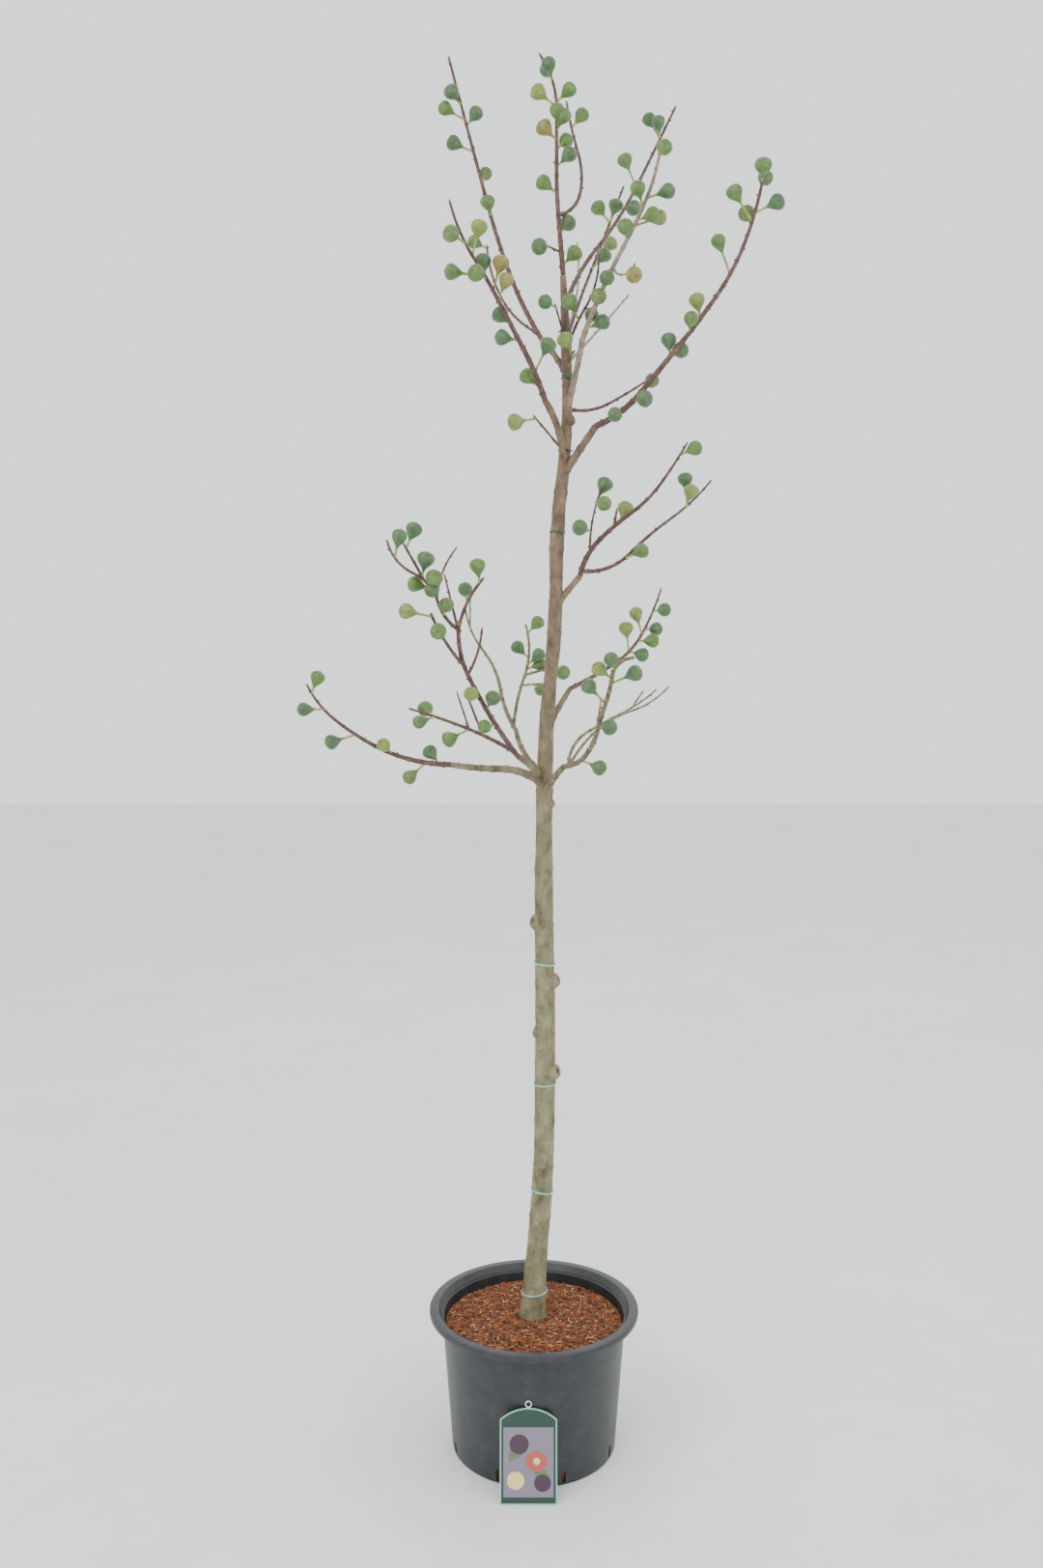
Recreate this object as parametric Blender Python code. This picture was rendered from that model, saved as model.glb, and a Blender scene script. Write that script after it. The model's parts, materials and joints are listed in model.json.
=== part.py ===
"""Potted fig tree: a young tree on one clean trunk, bare of leaves and set with green figs, in a black pot.

Metres, +Z up, the front faces -Y and +X is to the right. The origin is the centre of the pot's flat underside.
"""

from collections import namedtuple
from math import cos, pi, radians, sin
import random

import bmesh
import bpy
from mathutils import Matrix, Vector
import numpy as np

MM = 0.001
CLEAR = 0.3 * MM  # gap between solids that meet

# Pot
FOOT_RADIUS = 0.149
WALL_TOP_RADIUS = 0.1665
RIM_RADIUS = 0.1895
RIM_INNER_RADIUS = 0.172
RIM_TOP = 0.262
LIP_HEIGHT = 0.0115
WALL = 0.003
SLOT_COUNT = 8
SLOT_WIDTH = 0.0075
SLOT_HEIGHT = 0.022
SLOT_SILL = 0.005
SLOT_FIRST_ANGLE = 245
POT_SIDES = 48

# Potting soil
SOIL_TOP = 0.2355
SOIL_DISH = 0.004  # how far the soil sinks towards the wall
SOIL_FLAT_RADIUS = 0.045

# Label that leans on the pot
LABEL_WIDTH = 0.098
LABEL_SHOULDER = 0.141
LABEL_APEX = 0.160
LABEL_THICK = 0.0012
LABEL_X = -0.0105
LABEL_FOOT_Y = -0.1969
LABEL_LEAN = 11.75  # degrees from upright
LOOP_RADIUS = 0.005
LOOP_WIRE = 0.001

# Trunk: height above the soil and diameter, in millimetres, from the flared foot to the tip
TRUNK_GIRTHS = (
    (0, 50), (15, 46), (60, 42), (130, 38), (190, 38), (330, 36), (450, 37), (620, 35), (730, 33), (828, 32),
    (902, 28), (966, 30), (1070, 26), (1101, 27), (1157, 23), (1242, 25), (1335, 23), (1386, 25), (1482, 23),
    (1579, 19), (1660, 17), (1720, 18), (1818, 12), (1845, 10),
)
# Pruning knobs and bud scars on it: height above the soil, compass angle (0 right, 180 left, -90 front),
# radius and how far each stands out, in millimetres
KNOBS = (
    (286, -100, 7, 3), (456, -30, 12, 9), (530, 190, 10, 3), (622, -15, 11, 9), (729, 205, 12, 8),
    (940, -25, 6, 5), (1101, -70, 7, 3), (1250, -60, 6, 3), (1600, -20, 7, 5),
)
TRUNK_SIDES = 12

STEPS = 24  # steps that each limb grows by
RING_SPACING = 0.025
FEWEST_RINGS = 4
BUD_LENGTH = 0.009
BOUGH_SIDES = 8
STEM_SIDES = 5
TWIG_SIDES = 3
THICK_SHOOT = 7  # a shoot from this diameter in millimetres has STEM_SIDES sides

# A fig: distance from the limb's axis along its stalk and radius, in millimetres, for a fig of 26 mm
FIG_PROFILE = ((-1.5, 1.6), (12, 2.0), (21, 8.0), (29, 13.0), (37, 9.5))
FIG_END = 41
FIG_BELLY = 29
FIG_BELLY_RADIUS = 13
FIG_SIDES = 5
FIG_SPREAD = 50  # degrees between the limb's way and the fig's
FIG_SIZES = (0.90, 1.10)
SEED = 7

# Each limb belongs to one node. It leaves its parent at a share of the parent's length and grows for its own
# length in metres. Headings, spread evenly along it, are degrees in the front view: 0 right, 90 up, 180 left.
# Swings are degrees away from the front, and below zero towards it. thick and thin are diameters in
# millimetres. A fig is its share of the limb, its clock round the limb (0 right of the way it grows, 90
# behind, 180 left, -90 in front) and, where its stalk is longer, the extra millimetres.
Limb = namedtuple("Limb", "node name parent share length headings swings thick thin figs")

TRUNK_START = (-0.002, 0.014)
TRUNK = Limb(
    "trunk", "trunk", None, 0, 1.845, (87, 85, 89, 90, 91, 90, 89, 84, 90, 83, 92, 93), (0,), 46, 10, ()
)

BOUGHS = (
    ("low_left", 0.53, 0.170, (140, 180, 170), (0,), 14, 10),
    ("left_outer", 0.53, 0.090, (115, 145), (-30,), 12, 10),
    ("left_inner", 0.54, 0.110, (150, 125, 100), (35,), 10, 8),
    ("low_right", 0.52, 0.090, (70, 50), (-15, -30), 12, 10),
    ("mid_low_right", 0.58, 0.095, (65, 55), (25,), 11, 9),
    ("mid_right", 0.70, 0.065, (50,), (-5,), 11, 10),
    ("high_right", 0.82, 0.100, (55, 55), (-20,), 13, 11.5),
    ("high_left", 0.82, 0.135, (85, 125), (-25,), 12, 11),
    ("top_left", 0.91, 0.090, (115, 130), (25,), 10, 9),
    ("pale_right", 0.88, 0.120, (75, 80), (-25,), 10, 9.5),
)

# The masses of shoots and figs. The first limb of each is its stem.
SHOOTS = (
    Limb("low_left_shoots", "low_left_shoots", "low_left", 1, 0.295, (180, 165, 150, 140, 115), (0, -10), 10, 4,
         ((0.96, 0), (0.84, 180, 5), (0.6, -165, 15), (0.36, -60), (0.07, 30), (0.15, -165, 10))),
    Limb("left_outer_shoots", "left_outer_shoots", "left_outer", 1, 0.275, (125, 120, 115, 85), (-35, -15), 9, 7,
         ((0.52, -105, 10), (0.42, -30), (0.29, -135))),
    Limb("left_outer_shoots", "right_fork", "left_outer_shoots", 0.97, 0.090, (80, 50), (10,), 6, 5,
         ((0.94, -150), (0.52, 120, 5))),
    Limb("left_outer_shoots", "left_fork", "left_outer_shoots", 0.97, 0.190, (145, 105, 155, 105), (-30, -10),
         6, 4, ((0.87, 0, 5), (0.45, 150), (0.45, -60, 5), (0.2, -60, 5), (0.39, -90))),
    Limb("left_outer_shoots", "left_twin", "left_fork", 0.55, 0.065, (120,), (10,), 5, 4,
         ((0.92, 15, 5), (0.12, -30))),
    Limb("left_outer_shoots", "left_twig_a", "left_fork", 0.35, 0.115, (90, 55), (40,), 4, 3, ()),
    Limb("left_outer_shoots", "left_twig_b", "left_outer_shoots", 0.96, 0.105, (105,), (30,), 5, 3, ()),
    Limb("left_outer_shoots", "left_twig_c", "left_outer_shoots", 0.74, 0.125, (130, 110), (-40,), 6, 5,
         ((0.72, -90), (0.98, -180, 15))),
    Limb("left_outer_shoots", "left_twig_d", "left_outer_shoots", 0.68, 0.080, (60, 85), (20,), 5, 4, ()),
    Limb("left_outer_shoots", "left_flat", "left_outer_shoots", 0.04, 0.200, (150, 160, 165), (15,), 8, 4,
         ((0.82, 75), (0.78, -135), (0.45, -165, 10))),
    Limb("left_outer_shoots", "left_flat_twig", "left_flat", 0.45, 0.070, (110,), (30,), 4, 3, ()),
    Limb("left_outer_shoots", "left_flat_twin", "left_flat", 0.32, 0.075, (110,), (-20,), 4, 4, ()),
    Limb("left_inner_shoots", "left_inner_shoots", "left_inner", 1, 0.290, (125, 100, 130, 100), (40, 30),
         8, 3.5, ()),
    Limb("left_inner_shoots", "left_inner_twig", "left_inner_shoots", 0.87, 0.050, (90,), (20,), 4, 3, ()),
    Limb("left_inner_shoots", "left_rear", "left_inner_shoots", 0.04, 0.195, (85, 70, 105), (25, 20), 6.5, 4,
         ((0.94, 15), (0.69, -180), (0.62, -45), (0.58, 15))),
    Limb("left_inner_shoots", "left_rear_side", "left_rear", 0.52, 0.050, (15,), (10,), 5, 4, ((0.98, 60, 10),)),
    Limb("left_inner_shoots", "left_rear_spur", "left_rear", 0.41, 0.030, (5,), (20,), 4, 3, ((0.82, 60),)),
    Limb("low_right_shoots", "low_right_shoots", "low_right", 1, 0.255, (10, 60, 80, 75, 85), (-45, -40), 9, 7,
         ((0.17, -15, 10), (0.54, -45), (0.75, -180, 15), (0.93, 0, 15))),
    Limb("low_right_shoots", "low_right_up", "low_right_shoots", 0.97, 0.050, (90, 10), (-20,), 6, 5,
         ((0, -165), (0.31, -120, 5))),
    Limb("low_right_shoots", "low_right_far", "low_right_shoots", 0.04, 0.210, (90, 30, 25, 40), (15,), 6, 3, ()),
    Limb("low_right_shoots", "low_right_tip", "low_right_far", 0.77, 0.030, (55,), (20,), 3.5, 3, ()),
    Limb("low_right_shoots", "low_right_twig", "low_right_far", 0.43, 0.045, (80,), (20,), 4, 3.5, ()),
    Limb("low_right_shoots", "low_right_rear", "low_right_shoots", 0.05, 0.250, (60, 40, 15, 45), (35, 20),
         5, 3, ()),
    Limb("mid_low_right_shoots", "mid_low_right_shoots", "mid_low_right", 1, 0.285, (25, 30, 60, 70), (25, 30),
         8, 3.5,
         ((0.65, -165, 10), (0.49, -180, 15), (0.84, 30), (0.69, 30), (0.59, 0), (0.49, 15))),
    Limb("mid_right_shoots", "mid_right_shoots", "mid_right", 1, 0.290, (80, 45, 35, 55, 60), (-20,), 10, 3.5,
         ((0.94, 45), (0.41, 120))),
    Limb("mid_right_shoots", "mid_right_stub", "mid_right_shoots", 0.37, 0.025, (80,), (0,), 5, 4, ()),
    Limb("mid_right_shoots", "mid_right_thin", "mid_right_shoots", 0.16, 0.155, (95, 70), (-55, -40), 4.5, 2.5,
         ((0.34, -150), (0.75, -60), (0.79, 75))),
    Limb("mid_right_shoots", "mid_right_low", "mid_right_shoots", 0.03, 0.325, (-5, 45, 35, 50), (30, 20),
         7.5, 3.5, ((0.29, -75, 5), (0.79, -135), (0.8, 180, 20))),
    Limb("high_right_shoots", "high_right_shoots", "high_right", 1, 0.480, (20, 50, 50, 55, 70, 80), (-20, 0),
         11, 5,
         ((0.05, -90), (0.16, -60), (0.2, 90, 5), (0.35, 150), (0.35, 75), (0.45, -120), (0.51, 180),
          (0.68, -180, 25), (0.86, -180, 25), (0.85, 120), (0.89, 0, 10), (0.99, -105), (0.98, 75))),
    Limb("high_right_thin", "high_right_thin", "trunk", 0.88, 0.160, (-10, 30, 35), (20,), 6, 4, ()),
    Limb("high_left_shoots", "high_left_shoots", "high_left", 1, 0.345, (110, 120, 120, 125, 105), (-30, -15),
         10.5, 4,
         ((0.82, -120, 10), (0.76, 15, 15), (0.65, 60), (0.65, -180, 25), (0.64, -120), (0.4, 105),
          (0.32, -180), (0.58, 15, 15), (0.53, -15, 5), (0.15, 0, 20), (0.06, 120, 5))),
    Limb("high_left_thin", "high_left_thin", "trunk", 0.84, 0.095, (135,), (-45,), 4.5, 3.5,
         ((0.97, -180, 10),)),
    Limb("top_left_shoots", "top_left_shoots", "top_left", 1, 0.525, (120, 110, 105, 105, 105), (20, 0), 9, 4.5,
         ((0.85, -120), (0.8, -165, 10), (0.78, 15), (0.69, -180, 10), (0.59, 60), (0.46, -90))),
    Limb("top_left_shoots", "top_left_thin", "top_left_shoots", 0.02, 0.265, (145, 115, 95), (45, 30), 5, 4,
         ((0.99, 180),)),
    Limb("leader", "leader", "trunk", 1, 0.355, (95, 95, 90, 90, 125), (0,), 9.5, 4,
         ((0.88, -90), (0.9, 90), (0.76, -180, 10), (0.78, 0), (0.67, -90), (0.65, -60), (0.61, -165),
          (0.57, 45), (0.49, -15), (0.37, -180), (0.19, 45), (0.04, 0))),
    Limb("leader", "leader_spur", "leader", 0.10, 0.045, (160,), (-20,), 4, 3, ((0.58, -120),)),
    Limb("leader", "leader_bow", "leader", 0.27, 0.260, (25, 80, 105, 100), (45, 5), 6.5, 4, ((0.84, 0),)),
    Limb("fork_right", "fork_right", "trunk", 0.97, 0.565, (75, 55, 65, 65), (45, 20), 8, 4.5,
         ((0.87, 180, 15), (0.87, -135), (0.65, -165, 25), (0.57, 60))),
    Limb("pale_right_shoots", "pale_right_shoots", "pale_right", 1, 0.305, (70, 65, 60, 65, 80), (-30, -10),
         9.5, 5,
         ((0.74, -135, 5), (0.79, 0, 5), (0.67, -30), (0.64, 30, 15), (0.56, -120), (0.2, -90), (0.3, -120),
          (0.04, 135, 5), (0.99, 75), (0.06, 15))),
    Limb("pale_right_shoots", "pale_right_twig", "pale_right_shoots", 0.42, 0.060, (-105, 65), (-40,), 4, 3,
         ((0.77, -60),)),
    Limb("upright_rear", "upright_rear", "trunk", 0.94, 0.465, (75, 70, 70), (55, 25), 6.5, 4,
         ((0.81, 180, 10), (0.82, -90), (0.63, -45), (0.53, -60, 5))),
    Limb("upright_front", "upright_front", "trunk", 0.93, 0.190, (75, 55, 95), (-50, -30), 6, 3,
         ((0.37, -180, 5),)),
    Limb("low_rear", "low_rear", "trunk", 0.92, 0.380, (55,), (60, 50), 5, 3, ()),
    Limb("thin_rear", "thin_rear", "trunk", 0.95, 0.230, (65, 80, 95), (65, 10), 4, 2.5, ()),
    Limb("front_left", "front_left", "trunk", 0.94, 0.065, (110,), (-35,), 4, 3, ((0.99, -120, 15),)),
    Limb("front_right", "front_right", "trunk", 0.92, 0.035, (55,), (-60,), 4, 3.5, ((0.87, -180),)),
)


def clear_scene():
    for obj in list(bpy.data.objects):
        bpy.data.objects.remove(obj, do_unlink=True)


def make_material(name, colour, roughness):
    """A Principled material. colour is linear red, green and blue."""
    made = bpy.data.materials.new(name)
    made.use_nodes = True
    shader = made.node_tree.nodes["Principled BSDF"]
    shader.inputs["Base Color"].default_value = (*colour, 1)
    shader.inputs["Roughness"].default_value = roughness
    shader.inputs["Metallic"].default_value = 0
    return made


def add_object(name, shape, finish, smooth=40):
    """Turns a bmesh into a named object that is shaded smooth up to an edge of so many degrees."""
    mesh = bpy.data.meshes.new(name)
    shape.to_mesh(mesh)
    shape.free()
    mesh.shade_smooth()
    mesh.set_sharp_from_angle(angle=radians(smooth))
    obj = bpy.data.objects.new(name, mesh)
    obj.data.materials.append(finish)
    bpy.context.scene.collection.objects.link(obj)
    return obj


def apply_modifiers(obj):
    """Puts what the modifiers make into the object's own mesh."""
    bpy.context.view_layer.update()
    graph = bpy.context.evaluated_depsgraph_get()
    mesh = bpy.data.meshes.new_from_object(obj.evaluated_get(graph))
    obj.modifiers.clear()
    obj.data = mesh


def join(obj, others):
    """Joins closed meshes to the object with one union on a collection."""
    if not others:
        return
    group = bpy.data.collections.new(obj.name + "_pieces")
    bpy.context.scene.collection.children.link(group)
    for other in others:
        bpy.context.scene.collection.objects.unlink(other)
        group.objects.link(other)
    union = obj.modifiers.new("join", "BOOLEAN")
    union.operation = "UNION"
    union.operand_type = "COLLECTION"
    union.collection = group
    union.solver = "EXACT"
    apply_modifiers(obj)
    for other in others:
        bpy.data.objects.remove(other, do_unlink=True)
    bpy.data.collections.remove(group)


def turned(profile, sides, name, finish):
    """Turns a profile of (radius, height) points, from the axis round to the axis, into a closed solid."""
    shape = bmesh.new()
    points = [shape.verts.new((radius, 0, height)) for radius, height in profile]
    edges = [shape.edges.new(pair) for pair in zip(points, points[1:])]
    bmesh.ops.spin(
        shape, geom=points + edges, axis=(0, 0, 1), cent=(0, 0, 0), angle=2 * pi, steps=sides, use_merge=True
    )
    bmesh.ops.remove_doubles(shape, verts=shape.verts, dist=0.01 * MM)
    bmesh.ops.recalc_face_normals(shape, faces=shape.faces)
    return add_object(name, shape, finish)


def wall_radius(height):
    """The outer radius of the pot's tapered wall."""
    return FOOT_RADIUS + (WALL_TOP_RADIUS - FOOT_RADIUS) * height / (RIM_TOP - LIP_HEIGHT)


def make_pot(finish):
    lip = RIM_TOP - LIP_HEIGHT
    round_off = 0.003
    profile = [
        (0, 0),
        (FOOT_RADIUS - 0.004, 0),
        (FOOT_RADIUS, 0.004),
        (WALL_TOP_RADIUS, lip),
        (RIM_RADIUS - round_off / 2, lip),
        (RIM_RADIUS, lip + round_off),
        (RIM_RADIUS, RIM_TOP - round_off),
        (RIM_RADIUS - round_off, RIM_TOP),
        (RIM_INNER_RADIUS, RIM_TOP),
        (WALL_TOP_RADIUS - WALL, lip - round_off),
        (FOOT_RADIUS - WALL, WALL),
        (0, WALL),
    ]
    pot = turned(profile, POT_SIDES, "pot", finish)
    cutters = bmesh.new()
    for index in range(SLOT_COUNT):
        angle = radians(SLOT_FIRST_ANGLE + index * 360 / SLOT_COUNT)
        middle = Vector((FOOT_RADIUS * cos(angle), FOOT_RADIUS * sin(angle), SLOT_SILL + SLOT_HEIGHT / 2))
        place = Matrix.Translation(middle) @ Matrix.Rotation(angle, 4, "Z")
        size = Matrix.Diagonal((6 * WALL, SLOT_WIDTH, SLOT_HEIGHT, 1))
        bmesh.ops.create_cube(cutters, size=1, matrix=place @ size)
    cutter = add_object("drainage_slot_cutters", cutters, finish)
    cutter.hide_render = True
    cutter.display_type = "WIRE"
    cut = pot.modifiers.new("drainage_slots", "BOOLEAN")
    cut.operation = "DIFFERENCE"
    cut.object = cutter
    cut.solver = "EXACT"


def make_soil(finish):
    top_edge = SOIL_TOP - SOIL_DISH
    slack = WALL + 2 * CLEAR
    profile = [
        (0, WALL + CLEAR),
        (wall_radius(WALL) - slack - MM, WALL + CLEAR),
        (wall_radius(top_edge) - slack - 0.5 * MM, top_edge),
        (0.110, SOIL_TOP - SOIL_DISH / 4),
        (SOIL_FLAT_RADIUS, SOIL_TOP),
        (0, SOIL_TOP),
    ]
    turned(profile, POT_SIDES, "potting_soil", finish)


def label_place():
    """The frame of the leaning label: its foot's middle at the origin, X along it and Z up its face."""
    lean = radians(-LABEL_LEAN)
    lift = LABEL_THICK * abs(sin(lean)) + CLEAR
    return Matrix.Translation((LABEL_X, LABEL_FOOT_Y, lift)) @ Matrix.Rotation(lean, 4, "X")


def make_label(card, wire):
    """A card with an arched top and a small hanging loop above it."""
    half = LABEL_WIDTH / 2
    rise = LABEL_APEX - LABEL_SHOULDER
    radius = (half**2 + rise**2) / (2 * rise)
    centre = LABEL_APEX - radius
    outline = [(-half, 0), (half, 0)]
    spans = 10
    for index in range(spans + 1):
        x = half - 2 * half * index / spans
        outline.append((x, centre + (radius**2 - x**2) ** 0.5))
    shape = bmesh.new()
    face = shape.faces.new([shape.verts.new((x, 0, z)) for x, z in outline])
    moved = bmesh.ops.extrude_face_region(shape, geom=[face])
    corners = [item for item in moved["geom"] if isinstance(item, bmesh.types.BMVert)]
    bmesh.ops.translate(shape, vec=(0, LABEL_THICK, 0), verts=corners)
    bmesh.ops.recalc_face_normals(shape, faces=shape.faces)
    bmesh.ops.transform(shape, matrix=label_place(), verts=shape.verts)
    add_object("plant_label", shape, card)

    loop = bmesh.new()
    section = bmesh.ops.create_circle(loop, segments=5, radius=LOOP_WIRE)["verts"]
    upright = Matrix.Translation((LOOP_RADIUS, 0, 0)) @ Matrix.Rotation(pi / 2, 4, "X")
    bmesh.ops.transform(loop, matrix=upright, verts=section)
    bmesh.ops.spin(
        loop, geom=loop.verts[:] + loop.edges[:], axis=(0, 0, 1), cent=(0, 0, 0), angle=2 * pi, steps=14,
        use_merge=True,
    )
    bmesh.ops.remove_doubles(loop, verts=loop.verts, dist=0.01 * MM)
    bmesh.ops.recalc_face_normals(loop, faces=loop.faces)
    middle = LABEL_APEX + LOOP_RADIUS + LOOP_WIRE + CLEAR
    above = Matrix.Translation((0, LABEL_THICK / 2, middle)) @ Matrix.Rotation(pi / 2, 4, "X")
    bmesh.ops.transform(loop, matrix=label_place() @ above, verts=loop.verts)
    add_object("label_loop", loop, wire)


def spread(values, shares):
    """Values spread evenly from 0 to 1, read at the given shares."""
    return np.interp(shares, np.linspace(0, 1, len(values)), values) if len(values) > 1 else values[0] + 0 * shares


def grow(start, limb, lean=0):
    """The limb's axis: points that step on from the start by its headings and swings."""
    shares = (np.arange(STEPS) + 0.5) / STEPS
    heading = np.radians(spread(limb.headings, shares))
    swing = np.radians(spread(limb.swings, shares) + lean)
    ways = np.stack([np.cos(heading) * np.cos(swing), np.sin(swing), np.sin(heading) * np.cos(swing)], axis=1)
    return np.vstack([start, start + np.cumsum(ways, axis=0) * limb.length / STEPS])


def point_at(axis, share):
    place = min(max(share, 0), 1) * (len(axis) - 1)
    index = min(int(place), len(axis) - 2)
    return axis[index] + (axis[index + 1] - axis[index]) * (place - index)


def way_at(axis, share):
    index = min(int(share * (len(axis) - 1)), len(axis) - 2)
    way = axis[index + 1] - axis[index]
    return way / np.linalg.norm(way)


def tube(name, points, radii, sides, finish, first_way=None, bud=0):
    """A closed tube through the points. Its first face may look another way, and a bud may close its end."""
    shape = bmesh.new()
    rings = []
    points = [Vector(point) for point in points]
    side = None
    for index, (point, radius) in enumerate(zip(points, map(float, radii))):
        way = points[min(index + 1, len(points) - 1)] - points[max(index - 1, 0)]
        if index == 0 and first_way is not None:
            way = Vector(first_way)
        way.normalize()
        side = way.orthogonal() if side is None else side - way * side.dot(way)
        side.normalize()
        across = way.cross(side)
        rings.append([
            shape.verts.new(point + radius * (cos(turn) * side + sin(turn) * across))
            for turn in (2 * pi * step / sides for step in range(sides))
        ])
    for low, high in zip(rings, rings[1:]):
        for step in range(sides):
            after = (step + 1) % sides
            shape.faces.new((low[step], low[after], high[after], high[step]))
    shape.faces.new(rings[0][::-1])
    if bud:
        end = shape.verts.new(points[-1] + way * bud)
        for step in range(sides):
            shape.faces.new((rings[-1][step], rings[-1][(step + 1) % sides], end))
    else:
        shape.faces.new(rings[-1])
    bmesh.ops.triangulate(shape, faces=shape.faces)
    bmesh.ops.recalc_face_normals(shape, faces=shape.faces)
    return add_object(name, shape, finish)


def trunk_radius(height):
    """The trunk's radius at a height above the soil."""
    heights, girths = zip(*TRUNK_GIRTHS)
    return np.interp(height / MM, heights, girths) / 2 * MM


def make_trunk(axis, finish):
    """The trunk, flat at its foot, with its knobs fused on."""
    foot = axis[0][2]
    heights = [height * MM for height, _ in TRUNK_GIRTHS]
    shares = [min(height / (axis[-1][2] - foot), 1) for height in heights]
    points = [point_at(axis, share) for share in shares]
    radii = [trunk_radius(height) for height in heights]
    trunk = tube("trunk", points, radii, TRUNK_SIDES, finish, first_way=(0, 0, 1))
    knobs = []
    for index, (height, compass, radius, reach) in enumerate(KNOBS):
        middle = Vector(point_at(axis, height * MM / (axis[-1][2] - foot)))
        out = Vector((cos(radians(compass)), sin(radians(compass)), 0.35)).normalized()
        surface = float(trunk_radius(height * MM))
        stations = (surface * 0.4, surface + reach * MM * 0.5, surface + reach * MM)
        knob_radii = (radius * 1.15 * MM, radius * MM, radius * 0.7 * MM)
        knob_points = [middle + out * station for station in stations]
        knobs.append(tube("knob_%d" % index, knob_points, knob_radii, 7, finish))
    join(trunk, knobs)


def distance(points, segments):
    """The least distance from the points to the surfaces of the limb segments (starts, ends, radii)."""
    starts, ends, radii = segments
    if not len(starts):
        return np.inf
    runs = ends - starts
    gaps = points[:, None, :] - starts[None]
    along = np.clip((gaps * runs).sum(2) / np.maximum((runs**2).sum(1), 1e-12), 0, 1)
    return (np.linalg.norm(gaps - along[..., None] * runs, axis=2) - radii).min()


class Plant:
    """Where every limb and fig lies, so that what grows later keeps clear of what is there."""

    def __init__(self):
        self.axes = {}
        self.limbs = {}
        self.placed = []  # node, starts, ends, radii

    def add(self, limb, axis, radii):
        self.axes[limb.name] = axis
        self.limbs[limb.name] = limb
        self.placed.append((limb.node, axis[:-1], axis[1:], np.maximum(radii[:-1], radii[1:])))

    def others(self, *nodes):
        """The segments of every node but these."""
        rows = [row for row in self.placed if row[0] not in nodes]
        return tuple(np.concatenate([row[part] for row in rows] or [[]]) for part in (1, 2, 3))


def limb_radii(limb):
    return np.linspace(limb.thick, limb.thin, STEPS + 1) / 2 * MM


def make_clearance(name, points, radii, sides, group, finish, first_way=None):
    """A cutter that follows a limb and stands proud of it all round."""
    proud = [radius + 1.2 * CLEAR for radius in radii]
    cutter = tube(name + "_clearance", points, proud, sides, finish, first_way=first_way)
    bpy.context.scene.collection.objects.unlink(cutter)
    group.objects.link(cutter)
    cutter.hide_render = True
    cutter.display_type = "WIRE"


def cut_clear(obj, group):
    """Cuts the object clear of the cutters and drops the loose scraps."""
    cut = obj.modifiers.new("clearance", "BOOLEAN")
    cut.operation = "DIFFERENCE"
    cut.operand_type = "COLLECTION"
    cut.collection = group
    cut.solver = "EXACT"
    apply_modifiers(obj)
    shape = bmesh.new()
    shape.from_mesh(obj.data)
    islands = []
    left = set(shape.verts)
    while left:
        island = set()
        edge_of = [left.pop()]
        while edge_of:
            corner = edge_of.pop()
            island.add(corner)
            near = {edge.other_vert(corner) for edge in corner.link_edges} & left
            left -= near
            edge_of.extend(near)
        islands.append(island)
    largest = max(islands, key=len)
    scraps = [corner for corner in shape.verts if corner not in largest]
    bmesh.ops.delete(shape, geom=scraps, context="VERTS")
    shape.to_mesh(obj.data)
    shape.free()


def settle(plant, limb, start):
    """Grows the limb and leans it away, a few degrees at a time, from any other node that it would touch."""
    radii = limb_radii(limb)
    skip = STEPS // 4 if limb.parent in ("trunk",) else 1
    for lean in (0, 5, -5, 10, -10, 15, -15, 20, -20, 30, -30):
        axis = grow(start, limb, lean)
        own = {limb.node, limb.parent} | {"trunk"} if limb.parent == "trunk" else {limb.node, limb.parent}
        if distance(axis[skip:], plant.others(*own)) > radii.max() + 1.5 * MM:
            return axis, radii
    print("crowded", limb.name)
    return grow(start, limb), radii


def fig_ways(axis, share, clock):
    """The way that a fig points from its limb."""
    way = way_at(axis, share)
    across = np.array([way[2], 0, -way[0]])
    across = across / np.linalg.norm(across)
    behind = np.cross(across, way)
    behind = behind if behind[1] > 0 else -behind
    turn = radians(clock)
    lean = radians(FIG_SPREAD)
    return way * cos(lean) + (across * cos(turn) + behind * sin(turn)) * sin(lean)


def place_figs(plant, limb, rng):
    """Each fig of a limb that finds room, turned round the limb a little where its place is taken."""
    axis = plant.axes[limb.name]
    figs = []
    for fig in limb.figs:
        share, clock = fig[:2]
        extra = (fig[2] if len(fig) > 2 else 0) * MM
        size = rng.uniform(*FIG_SIZES)
        root = point_at(axis, share)
        for turn in (0, 15, -15, 30, -30, 45, -45, 60, -60, 90, -90, 120, -120):
            way = fig_ways(axis, share, clock + turn)
            belly = root + way * (FIG_BELLY * MM + extra)
            neck = root + way * (FIG_BELLY * 0.6 * MM + extra)
            end = root + way * (FIG_END * MM + extra)
            room = FIG_BELLY_RADIUS * size * MM + 1.5 * MM
            free = distance(np.array([belly, neck, end]), plant.others(limb.node)) > room
            if free:
                figs.append((root, way, extra, size))
                line = np.array([root, belly, end])
                girths = np.array([2, FIG_BELLY_RADIUS * size]) * MM
                plant.placed.append((limb.node, line[:-1], line[1:], girths))
                break
        else:
            print("no room for a fig on", limb.name, share)
    return figs


def make_fig(index, root, way, extra, size, finish):
    """A pear-shaped fig on its stalk, sunk into its shoot."""
    stations = [(root + way * ((along * MM) + (extra if along > 15 else 0)), radius) for along, radius in FIG_PROFILE]
    points = [point for point, _ in stations]
    radii = [radius * MM * (size if radius > 2.5 else 1) for _, radius in stations]
    return tube("fig_%d" % index, points, radii, FIG_SIDES, finish, bud=(FIG_END - FIG_PROFILE[-1][0]) * MM)


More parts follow.
